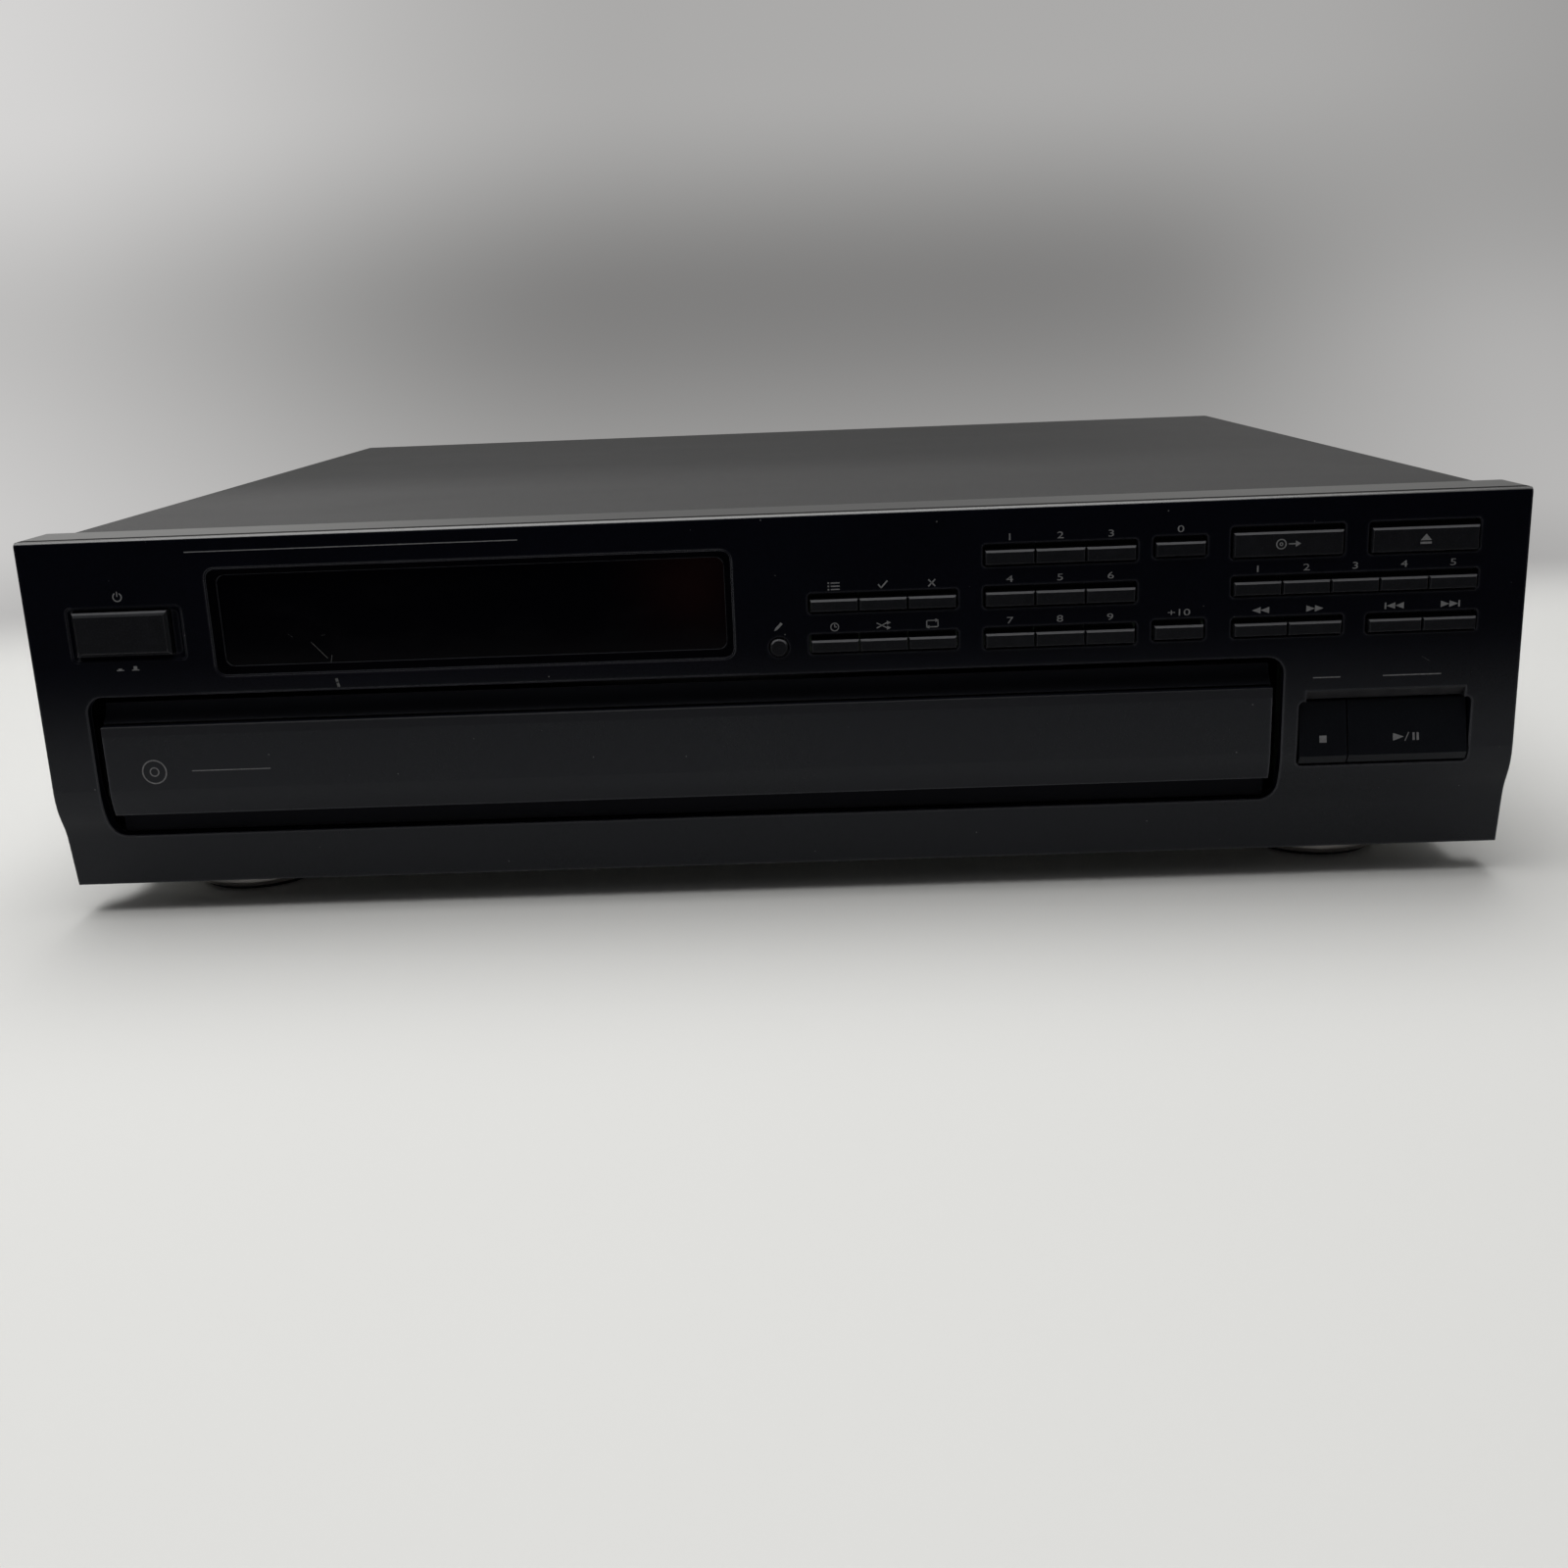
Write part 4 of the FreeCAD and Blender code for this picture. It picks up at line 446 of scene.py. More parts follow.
PUSH_MARK = [bar(-6.2, -0.45, 2.2, 0.3), bar(-6.2, -0.1, 1.1, 0.4),
             bar(-1.6, -0.45, 2.2, 0.3), bar(-1.6, 0.2, 1.1, 1.0)]
DISC_MARK = arc(0, 0, 3.6, 0.4, steps=48) + arc(0, 0, 1.3, 0.35, steps=28)
EJECT_MARK = [[(-1.6, -0.35), (1.6, -0.35), (0, 1.5)], bar(0, -1.1, 3.2, 0.6)]
NEXT_DISC_MARK = arc(-2.2, 0, 1.35, 0.34) + arc(-2.2, 0, 0.4, 0.3, steps=12) + [
    bar(1.0, 0, 2.2, 0.34), arrow_head(2.7, 0, 1.5, 1.8)]
STOP_MARK = [bar(0, 0, 2.1, 2.1)]
PLAY_MARK = [arrow_head(-2.6, 0, 3.2, 2.3), stroke((-0.7, -1.3), (0.5, 1.3), 0.3),
             bar(1.9, 0, 0.65, 2.3), bar(3.1, 0, 0.65, 2.3)]

MARKS_ABOVE_KEYS = {
    "program_mode_key": list_mark(), "check_key": TICK_MARK, "clear_key": CROSS_MARK,
    "time_display_key": CLOCK_MARK, "random_key": SHUFFLE_MARK, "repeat_key": LOOP_MARK,
    "edit_button": PENCIL_MARK, "search_back_key": search_mark(-1), "search_forward_key": search_mark(1),
    "skip_back_key": skip_mark(-1), "skip_forward_key": skip_mark(1),
}
# The mark on a key, and how far below the key's middle it stands in millimetres.
MARKS_ON_KEYS = {
    "open_close_key": (EJECT_MARK, 0.55), "disc_skip_key": (NEXT_DISC_MARK, 0.55),
    "stop_key": (STOP_MARK, 1.9), "play_pause_key": (PLAY_MARK, 1.9),
}


def surface_frame(node, x, z):
    """A matrix on a node's front surface at a place: x to the right, y up the surface."""
    hit, place, normal = nodes[node].ray_cast(Vector((x, -1, z)), Vector((0, 1, 0)))[:3]
    if not hit:
        raise RuntimeError(f"{node} has no surface at {x:.4f}, {z:.4f}")
    right = Vector((1, 0, 0))
    upward = normal.cross(right).normalized()
    turn = Matrix((right, upward, normal)).transposed().to_4x4()
    return Matrix.Translation(place) @ turn


def print_mark(mesh, outlines, matrix):
    for outline in outlines:
        prism(mesh, outline, bpy.context.scene.changer_marks.ink_thickness, matrix)


def print_figure(mesh, text, height, matrix):
    """Wide figures set in Blender's own font, as solid ink."""
    thickness = bpy.context.scene.changer_marks.ink_thickness
    curve = bpy.data.curves.new("figure", "FONT")
    curve.body = text
    curve.size = height / FIGURE_SHARE
    curve.align_x = "CENTER"
    curve.resolution_u = 3
    curve.extrude = thickness / 2
    holder = bpy.data.objects.new("figure", curve)
    data = bpy.data.meshes.new_from_object(holder)
    widened = Matrix.Diagonal((FIGURE_WIDENING, 1, 1, 1))
    data.transform(matrix @ Matrix.Translation((0, -height / 2, thickness / 2)) @ widened)
    mesh.from_mesh(data)
    bpy.data.objects.remove(holder)
    bpy.data.curves.remove(curve)
    bpy.data.meshes.remove(data)


# ---- finishes

def moulded(name, colour, roughness, grain, depth, specular=0.2):
    """Moulded plastic with faint smears and rounded edges; grain and depth in millimetres."""
    look = Look(name)
    cloud = look.noise(35, 4)
    fine = look.noise(grain, 3)
    look.normal = look.bump(fine, depth, look.soft_edges(0.12))
    look.set(
        colour=look.mix(cloud.ramp(0.3, 0.75), tinted(colour, 0.75), tinted(colour, 0.95)),
        roughness=roughness + (cloud - 0.5) * 0.08 + (fine - 0.5) * 0.2,
        specular=specular,
        specular_tint=(0.92, 0.95, 1.0),
        normal=look.normal,
    )
    look.tint(fine.ramp(0.5, 0.7) * 0.5, tinted(colour, 2.2))
    return look


def ink():
    colour = bpy.context.scene.changer_marks.ink
    look = Look("printed_ink")
    worn = look.noise(0.9, 3).ramp(0.35, 0.7)
    look.set(colour=look.mix(worn, tinted(colour, 0.8), tinted(colour, 1.1)), roughness=0.6)
    return look.material


def plated(name, colour, roughness, grain=0.4):
    """Plated or bare metal with a fine grain."""
    look = Look(name)
    fine = look.noise(grain, 3)
    cloud = look.noise(20, 3)
    look.set(
        colour=look.mix(cloud.ramp(0.3, 0.7), tinted(colour, 0.85), tinted(colour, 1.08)),
        metallic=1.0,
        roughness=roughness + (fine - 0.5) * 0.2 + (cloud - 0.5) * 0.1,
        normal=look.bump(fine, 0.01, look.soft_edges(0.15)),
    )
    return look


def textured_paint(name, colour, grain, depth, roughness):
    """Pimpled paint on sheet steel, with handling marks and worn edges."""
    look = Look(name)
    pimples = look.cells(grain)
    cloud = look.noise(60, 5)
    worn = look.edge_mask(0.5) * look.noise(4, 4).ramp(0.52, 0.62)
    look.set(
        colour=look.mix(cloud.ramp(0.3, 0.7), tinted(colour, 0.92), tinted(colour, 1.1)),
        roughness=roughness + (cloud - 0.5) * 0.12,
        specular=0.21,
        normal=look.bump(pimples, depth, look.soft_edges(0.3)),
    )
    look.tint(pimples.ramp(0.45, 0.1) * 0.6, tinted(colour, 2.4))
    look.tint(worn * 0.5, tinted(colour, 5))
    look.tint(look.specks(9, 0.03) * 0.5, 0.3)
    return look


# ---- operators: casing

class DressFrontPanel(bpy.types.Operator):
    """Black moulded plastic on the front panel and the drawer front"""

    bl_idname = "changer.front_panel"
    bl_label = "Front panel"

    def execute(self, context):
        casing = context.scene.changer_casing
        panel = self.plastic("front_panel", casing)
        panel.tint(self.chips(panel), 0.10)
        # Painted highlights round the display and the power key's dish.
        panel.tint(self.rims(panel), (0.125, 0.125, 0.135))
        for dress in (self.upper_half, self.window_slopes, self.scoop, self.lip, self.crown):
            dress(panel)
        panel.done("front_panel")
        drawer = self.plastic("tray_front", casing)
        self.lower_band(drawer)
        self.cove(drawer)
        drawer.done("tray_front")
        return {"FINISHED"}

    def plastic(self, name, casing):
        """Black plastic with a highlight painted along its edges, weaker above the drawer, chipped along
        the top, and a few specks of dust.
        """
        grain = casing.moulding_grain / MM
        look = moulded(f"{name}_plastic", casing.panel_black, 0.31, grain, 0.009, specular=0.27)
        upper = look.past("Z", 0, 70, 72)
        edges = look.edge_mask(1.0) * (1 - upper * 0.45)
        worn = look.noise(2.5, 5).ramp(0.60, 0.68)
        top_edge = look.past("Z", PANEL_TOP, -3, -1)
        # Painted highlight: the edges are coloured lighter to stand for the light they catch.
        look.tint(edges, (0.042, 0.042, 0.048))
        look.tint(edges * worn * (0.1 + top_edge * 0.6), (0.11, 0.115, 0.10))
        look.tint(look.specks(7, 0.035) * 0.6, 0.16)
        return look

    def upper_half(self, look):
        """The upright part of the face is duller than the part that sweeps under."""
        look.patch(look.past("Z", 0, 44, 84), colour=look.tone, roughness=0.34, specular=0.03)

    def chips(self, look):
        """A chip below the display and a scratch above the play key."""
        chip = look.scratch(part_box("display_window")[0], 37.6, 0.2, 3, -5.0, 0.55)
        scratch = look.scratch(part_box("play_pause_key")[1], -15, 11.8, 3.2, -0.6, 0.12)
        return (chip + scratch * 0.5) * look.noise(0.8, 4).ramp(0.35, 0.55)

    def rims(self, look):
        """Painted highlights: light lines round the display's slopes and at both sides of the power key's
        dish.
        """
        window = look.over("display_window", 5 * MM, 5 * MM, 3 * MM, 3.5 * MM)
        low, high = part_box("power_button")
        left = look.inside("X", low.x - 1.2 * MM, low.x + 1.5 * MM)
        right = look.inside("X", high.x + 1.2 * MM, high.x + 3.4 * MM)
        dish = (left + right) * look.inside("Z", low.z - 1.1 * MM, high.z + 0.7 * MM)
        return look.edge_mask(0.8) * (window + dish * 0.8)

    def window_slopes(self, look):
        """The slopes round the display, dark and without gloss, with a highlight painted along their
        edges.
        """
        depth = look.inside("Y", PANEL_FACE + 0.35 * MM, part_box("display_window")[0].y)
        slopes = depth * look.over("display_window", above=1 * MM)
        # Painted highlight: the slopes' edges are coloured lighter.
        tone = look.mix(look.edge_mask(0.5), (0.0012, 0.0012, 0.0018), (0.032, 0.032, 0.036))
        look.patch(slopes, colour=tone, roughness=0.5, specular=0.0)

    def scoop(self, look):
        """The scoop above the stop and play keys, painted lighter in uneven patches to stand for the
        light it catches.
        """
        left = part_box("stop_key")[0].x
        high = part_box("play_pause_key")[1]
        depth = look.past("Y", PANEL_FACE, 0.1, 0.3)
        place = look.inside("X", left, high.x) * look.inside("Z", high.z - 2 * MM, high.z + 4 * MM)
        rub_marks_and_painted_light = look.noise(4, 3).ramp(0.3, 0.7)
        # Painted light: the scoop's colour is far lighter than the panel black.
        tone = look.mix(rub_marks_and_painted_light, (0.016, 0.016, 0.018), (0.024, 0.024, 0.026))
        look.patch(depth * place, colour=tone, roughness=0.4, specular=0.3)

    def lip(self, look):
        """The smooth upper side of the panel, with a sheen painted lighter at its ends and darker towards
        the right, and a dark line painted as the shade of a fine groove.
        """
        top = look.past("Z", PANEL_TOP, -0.5, -0.3)
        across = look.axis("X")
        # Painted sheen: lighter towards both ends, darker towards the right.
        painted_end_sheen = look.mix(across.absolute().ramp(0.03, 0.17), 0.008, (0.045, 0.045, 0.043))
        tone = look.mix(across.ramp(0.08, 0.22) * 0.4, painted_end_sheen, 0.010)
        look.patch(top, colour=tone, roughness=0.32, specular=0.48)
        # Painted shade: a dark line where a fine groove would be shaded.
        painted_groove_shade = look.inside("Y", PANEL_FACE + 2.4 * MM, PANEL_FACE + 5.2 * MM)
        look.patch(top * painted_groove_shade, colour=0.004, roughness=0.6, specular=0.04)

    def crown(self, look):
        """The rounded front edge of the lip, polished by hands and cloths, with a highlight painted into
        its colour.
        """
        top = look.past("Z", PANEL_TOP, -0.7, -0.5)
        front = look.past("Y", PANEL_FACE, 2.0, 1.7)
        worn = look.noise(6, 4)
        # Painted highlight: a lighter colour, uneven along the edge.
        tone = look.mix(worn, 0.012, (0.05, 0.05, 0.048))
        look.patch(top * front, colour=tone, roughness=0.22 + worn * 0.16, specular=0.85)

    def cove(self, look):
        """The hollow above the door, which little light reaches, painted a little lighter than the panel
        to stand for that faint light.
        """
        hollow = look.past("Z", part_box("tray_front")[1].z, -9.4, -9.2)
        # Painted light: the hollow's colour is lighter than the panel black.
        look.patch(hollow, colour=(0.005, 0.0055, 0.0085), roughness=0.45, specular=0.2)

    def lower_band(self, look):
        """The matt band that stands back below the drawer front."""
        band = look.past("Z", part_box("tray_front")[0].z, 6.7, 6.5)
        look.patch(band, colour=(0.0035, 0.0037, 0.0058), roughness=0.7, specular=0.08)


class DressKeys(bpy.types.Operator):
    """Dark grey moulded plastic on every key"""

    bl_idname = "changer.keys"
    bl_label = "Keys"

    def execute(self, context):
        casing = context.scene.changer_casing
        deck = ("stop_key", "play_pause_key")
        keys = [name for name in nodes if name.endswith(("_key", "_button")) and name not in deck]
        look = moulded("key_plastic", casing.key_grey, 0.32, casing.moulding_grain / MM, 0.006, 0.08)
        polish = look.noise(6, 3).ramp(0.45, 0.7)
        look.tint(polish * 0.4, tinted(casing.key_grey, 1.4))
        self.light_edges(look)
        look.done(*keys)
        grain = casing.moulding_grain / MM
        moulded("deck_key_plastic", (0.004675, 0.00527, 0.007225), 0.34, grain, 0.008).done(*deck)
        return {"FINISHED"}

    def light_edges(self, look):
        """Painted highlights on the edges and on the upper slopes; on the power key only on the crest and
        the lower edge.
        """
        edges = look.edge_mask(0.25)
        # Painted highlight on every edge.
        look.tint(edges, (0.045, 0.045, 0.048))
        low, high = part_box("power_button")
        power = look.past("X", high.x, 1, 0)
        lower_edge = look.inside("Z", low.z + POWER_FLANGE, low.z + POWER_FLANGE + 1.7 * MM)
        # Painted highlight on the power key's lower edge.
        look.tint(edges * power * lower_edge, (0.12, 0.12, 0.125))
        crest = look.past("Z", high.z - POWER_FLANGE, -0.65, -0.5)
        facing = look.node("ShaderNodeNewGeometry", output="Normal")
        rise = look.node("ShaderNodeSeparateXYZ", {0: facing}, output="Z")
        bevel = rise.ramp(0.2, 0.5) * rise.ramp(0.95, 0.8) * (1 - power * (1 - crest * 0.8))
        # Painted highlight on slopes that face up.
        look.tint(bevel, (0.10, 0.10, 0.105))


class DressDisplay(bpy.types.Operator):
    """Smoked lens with a dull red reflection painted at its upper right, and the display tube behind it
    """

    bl_idname = "changer.display"
    bl_label = "Display"

    def execute(self, context):
        look = Look("smoked_lens")
        low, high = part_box("display_window")
        across = look.axis("X").ramp(low.x + 0.72 * (high.x - low.x), high.x - 8 * MM)
        upward = look.axis("Z").ramp(low.z + 2 * MM, high.z - 8 * MM)
        # Painted reflection: a dull red tint towards the lens's upper right.
        painted_red_reflection = across * (0.25 + upward * 0.75) * look.noise(30, 2).ramp(0.25, 0.7)
        smear = look.noise(18, 4, look.stretched(1, 1, 2.2)).ramp(0.45, 0.8)
        scratches = self.scratches(look, low)
        look.set(colour=look.mix(painted_red_reflection, (0.0009, 0.0009, 0.0016), (0.0066, 0.0024, 0.0024)),
                   roughness=0.10 + smear * 0.12 + scratches * 0.3, specular=0.04)
        look.tint(scratches * 0.8, 0.09)
        look.done("display_window")
        glass = Look("tube_glass")
        haze = glass.noise(5, 3)
        glass.set(colour=glass.mix(haze, (0.02, 0.03, 0.03), (0.05, 0.06, 0.06)), roughness=0.08)
        glass.done("display_tube")
        return {"FINISHED"}

    def scratches(self, look, low):
        """A slanted scratch with a nick at its end, and two fine ones."""
        lines = look.scratch(low, 30.3, 10.8, 7, -1.13) + look.scratch(low, 35.6, 3.8, 3, 4.5)
        lines = lines + look.scratch(low, 23.6, 13.5, 2, -0.8, 0.1) * 0.6
        lines = lines + look.scratch(low, 33.5, 12.6, 1.5, 0.1, 0.1) * 0.5
        return lines * look.noise(0.5, 3).ramp(0.3, 0.55)


class DressCover(bpy.types.Operator):
    """Textured grey paint on the folded cover, dulled by dust, and blackened screws"""

    bl_idname = "changer.cover"
    bl_label = "Cover"

    def execute(self, context):
        casing = context.scene.changer_casing
        look = textured_paint("cover_paint", casing.cover_grey, casing.paint_grain / MM, 0.10, 0.46)
        dust = look.axis("Y").ramp(-0.09, 0.03) * look.axis("X").ramp(0.24, 0.06)
        look.set(roughness=0.40 + look.noise(60, 5) * 0.12 + dust * 0.2)
        look.done("top_cover")
        screws = Look("black_screws")
        worn = screws.edge_mask(0.3) * screws.noise(1.2, 3).ramp(0.5, 0.6)
        screws.set(colour=screws.mix(worn, (0.02, 0.02, 0.022), (0.30, 0.29, 0.27)),
                   metallic=1.0, roughness=0.36 + screws.noise(1, 3) * 0.15)
        screws.done("cover_screws")
        return {"FINISHED"}


class DressChassis(bpy.types.Operator):
    """Zinc-plated pan and bridge, and the black rear panel with its sockets and cord gland"""

    bl_idname = "changer.chassis"
    bl_label = "Chassis"

    def execute(self, context):
        zinc = plated("zinc_plate", (0.46, 0.47, 0.46), 0.34)
        spangle = zinc.node("ShaderNodeSeparateColor", {0: zinc.cells(6, "Color")})
        zinc.set(colour=zinc.mix(spangle, (0.36, 0.37, 0.37), (0.52, 0.52, 0.50)))
        zinc.done("chassis_pan", "clamper_bridge")
        casing = context.scene.changer_casing
        rear = textured_paint("rear_paint", casing.rear_black, casing.paint_grain / MM * 0.7, 0.025, 0.42)
        rear.done("rear_panel")
        moulded("gland_rubber", (0.013, 0.013, 0.013), 0.62, 0.6, 0.02).done("cord_gland")
        self.sockets()
        return {"FINISHED"}

    def sockets(self):
        """Black plastic with bare barrels, one in a white collar and one in a red collar."""
        body = moulded("socket_plastic", (0.012, 0.012, 0.012), 0.45, 0.4, 0.01)
        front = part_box("jack_block")[0].y
        barrel = body.past("Y", front, 15.6, 15.8)
        body.set(metallic=barrel, roughness=0.42 - barrel * 0.2 + body.noise(1) * 0.1)
        body.tint(barrel, (0.62, 0.62, 0.60))
        body.done("jack_block")
        for side, colour, name in ((-1, (0.62, 0.61, 0.57), "left"), (1, (0.42, 0.022, 0.02), "right")):
            self.collar(side, colour, name, front + 15.5 * MM)

    def collar(self, side, colour, name, back):
        middle = middle_of("jack_block")
        place = Matrix.Translation((middle.x + side * 8 * MM, back, middle.z))
        mesh = bmesh.new()
        lathe(mesh, [(4.2, 0), (6.2, 0), (6.2, 1.4), (5.8, 1.9), (4.2, 1.9)],
              place @ Matrix.Rotation(-math.pi / 2, 4, "X"))
        look = Look(f"collar_{name}_plastic")
        fine = look.noise(1.5, 3)
        look.set(colour=look.mix(fine, tinted(colour, 0.85), colour), roughness=0.35 + fine * 0.1)
        add_trim(f"socket_collar_{name}", mesh, look.material, "root")


class DressFeet(bpy.types.Operator):
    """Metallised foot shells with dark rubber rings and their screws"""

    bl_idname = "changer.feet"
    bl_label = "Feet"

    def execute(self, context):
        plated("foot_metallising", (0.62, 0.59, 0.57), 0.40, 0.6).done("feet")
        moulded("foot_rubber", (0.022, 0.021, 0.021), 0.75, 0.5, 0.04, 0.3).done("foot_pads")
        self.screws()
        return {"FINISHED"}

    def screws(self):
        """A screw up inside each foot."""
        low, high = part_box("feet")
        mesh = bmesh.new()
        for x in (low.x + FOOT_RADIUS, high.x - FOOT_RADIUS):
            for y in (low.y + FOOT_RADIUS, high.y - FOOT_RADIUS):
                lathe(mesh, [(0.05, 1.7), (2.2, 1.8), (3.6, 2.6), (3.6, 4.45), (0.05, 4.45)],
                      Matrix.Translation((x, y, 0)), steps=24)
        steel = plated("foot_screw_steel", (0.42, 0.42, 0.41), 0.3)
        add_trim("foot_screws", mesh, steel.material, "root")


# ---- operators: drawer and mechanism

class DressDrawer(bpy.types.Operator):
    """Black plastic on the disc tray, dark grey on the carousel and its cap"""

    bl_idname = "changer.drawer"
    bl_label = "Drawer"

    def execute(self, context):
        tray = moulded("tray_plastic", (0.011, 0.011, 0.012), 0.48, 0.5, 0.018)
        rub_marks_and_painted_light = tray.noise(3, 4, tray.stretched(1, 0.06, 1)).ramp(0.56, 0.7)
        tray.tint(rub_marks_and_painted_light * 0.35, 0.03)
        tray.done("disc_tray", "mechanism_base")
        carousel = moulded("carousel_plastic", (0.026, 0.026, 0.028), 0.40, 0.45, 0.014)
        dust = carousel.noise(12, 5).ramp(0.5, 0.8)
        carousel.tint(dust * 0.25, 0.07)
        carousel.done("carousel", "carousel_hub")
        return {"FINISHED"}


class PrintCarouselNumbers(bpy.types.Operator):
    """Printed figures 1 to 5, one beside each disc place on the carousel"""

    bl_idname = "changer.carousel_numbers"
    bl_label = "Carousel numbers"

    def execute(self, context):
        low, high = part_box("carousel")
        middle = middle_of("carousel")
        reach = 0.88 * (high.x - low.x) / 2
        mesh = bmesh.new()
        for number in range(DISC_PLACES):
            turn = math.radians(FIRST_PLACE_TURN + 360 / DISC_PLACES * number)
            stand = Matrix.Translation((middle.x, middle.y, high.z)) @ Matrix.Rotation(turn, 4, "Z")
            place = stand @ Matrix.Translation((reach, 0, 0)) @ Matrix.Rotation(math.pi / 2, 4, "Z")
            print_figure(mesh, str(number + 1), 7 * MM, place)
        add_trim("carousel_numbers", mesh, ink(), "carousel")
        return {"FINISHED"}


class DressMechanism(bpy.types.Operator):
    """Lifter, turntable, pickup, clamper, gears and motor"""

    bl_idname = "changer.mechanism"
    bl_label = "Mechanism"

    def execute(self, context):
        black = moulded("lifter_plastic", (0.016, 0.016, 0.017), 0.5, 0.5, 0.02)
        black.done("lifter", "turntable", "clamper_puck")
        self.pickup()
        acetal = moulded("natural_acetal", (0.66, 0.65, 0.60), 0.38, 0.6, 0.01)
        acetal.done("carousel_pinion", "loading_gear", "lift_slider")
        plated("motor_steel", (0.50, 0.50, 0.49), 0.28).done("loading_motor")
        self.turntable_ring()
        return {"FINISHED"}

    def pickup(self):
        """Black glass-filled plastic with a clear bluish lens at its top."""
        body = moulded("pickup_plastic", (0.02, 0.02, 0.022), 0.4, 0.4, 0.015)
        lens = body.past("Z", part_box("optical_pickup")[1].z, -1.4, -1.2)
        body.tint(lens, (0.03, 0.06, 0.11))
        body.set(roughness=0.4 - lens * 0.36, coat_weight=lens)
        body.done("optical_pickup")

    def turntable_ring(self):
        """The rubber ring that a disc rests on, sunk in the turntable's rim."""
        spin = next(joint for joint in frame["joints"] if joint["name"] == "turntable_spin")
        place = Matrix.Translation(spin["pos_m"]) @ Matrix.Rotation(LIFTER_TILT_AT_REST, 4, "X")
        mesh = bmesh.new()
        profile = [(11, -0.4), (15.6, -0.4), (15.6, 0.25), (15.2, 0.4), (11.4, 0.4), (11, 0.25)]
        lathe(mesh, profile, place, steps=48)
        rubber = moulded("turntable_rubber", (0.03, 0.03, 0.03), 0.8, 0.4, 0.03, 0.3)
        add_trim("turntable_ring", mesh, rubber.material, "turntable")


class DressElectronics(bpy.types.Operator):
    """Circuit boards with dark parts, and the varnished transformer"""

    bl_idname = "changer.electronics"
    bl_label = "Electronics"

    def execute(self, context):
        self.board("main_board", 1.0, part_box("main_board")[0].z + 10 * MM)
        # Painted shade: the control board is darkened to a quarter, for the shade it sits in.
        self.board("control_board", 0.25)
        core = Look("transformer_core")
        layers = core.noise(0.5, 2, core.stretched(0.02, 1, 0.02))
        core.set(colour=core.mix(layers, (0.05, 0.045, 0.04), (0.12, 0.10, 0.08)), roughness=0.45,
                 metallic=0.3, normal=core.bump(layers, 0.05))
        core.done("transformer")
        return {"FINISHED"}

    def board(self, name, shade, level=None):
        """Solder-masked laminate with faint tracks, darkened by the factor shade as painted shade; what
        stands above level is black.
        """
        look = Look(f"{name}_laminate")
        tracks = look.noise(4, 1, look.stretched(1, 0.25, 1)).ramp(0.5, 0.53)
        tone = look.mix(tracks, tinted((0.016, 0.055, 0.02), shade), tinted((0.03, 0.10, 0.04), shade))
        look.set(colour=tone, roughness=0.4, normal=look.bump(tracks, 0.03))
        if level is not None:
            look.tint(look.past("Z", level, 0.5, 0.7), (0.018, 0.018, 0.02))
        look.done(name)


# ---- operators: marks and trim

class PrintFrontMarks(bpy.types.Operator):
    """Figures and plain symbols printed on the panel, the drawer front and the wide keys"""

    bl_idname = "changer.front_marks"
    bl_label = "Front marks"

    def execute(self, context):
        settings = context.scene.changer_marks
        mesh = bmesh.new()
        for key, text in FIGURES.items():
            print_figure(mesh, text, settings.figure_height, self.above(key, settings.mark_lift))
        for key, mark in MARKS_ABOVE_KEYS.items():
            extra = 0.8 * MM if key == "edit_button" else 0
            print_mark(mesh, mark, self.above(key, settings.mark_lift + extra))
        for key, length in (("stop_key", 8), ("play_pause_key", 17)):
            print_mark(mesh, rule_mark(length), self.above(key, 6.4 * MM))
        self.power_marks(mesh)
        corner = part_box("display_window")
        place = surface_frame("front_panel", corner[0].x + 46 * MM, corner[1].z + 5.6 * MM)
        print_mark(mesh, rule_mark(98, 0.28), place)
        add_trim("panel_marks", mesh, ink(), "root")
        self.drawer_marks()
        self.key_marks()
        return {"FINISHED"}

    def above(self, key, lift):
        return surface_frame("front_panel", middle_of(key).x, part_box(key)[1].z + lift)

    def power_marks(self, mesh):
        """The power symbol above the key, and below it the key in and the key out."""
        middle = middle_of("power_button")
        print_mark(mesh, POWER_MARK, surface_frame("front_panel", middle.x, middle.z + 10.9 * MM))
        below = surface_frame("front_panel", middle.x + 4 * MM, middle.z - 10.6 * MM)
        print_mark(mesh, PUSH_MARK, below)

    def drawer_marks(self):
        """A plain disc symbol and a rule at the left of the drawer front."""
        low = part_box("tray_front")[0]
        mesh = bmesh.new()
        for mark, right in ((DISC_MARK, 14.5 * MM), (rule_mark(24, 0.28), 38 * MM)):
            print_mark(mesh, mark, surface_frame("tray_front", low.x + right, low.z + 20.5 * MM))
        add_trim("drawer_marks", mesh, ink(), "tray")

    def key_marks(self):
        for key, (mark, drop) in MARKS_ON_KEYS.items():
            middle = middle_of(key)
            mesh = bmesh.new()
            print_mark(mesh, mark, surface_frame(key, middle.x, middle.z - drop * MM))
            add_trim(f"{key}_mark", mesh, ink(), key)


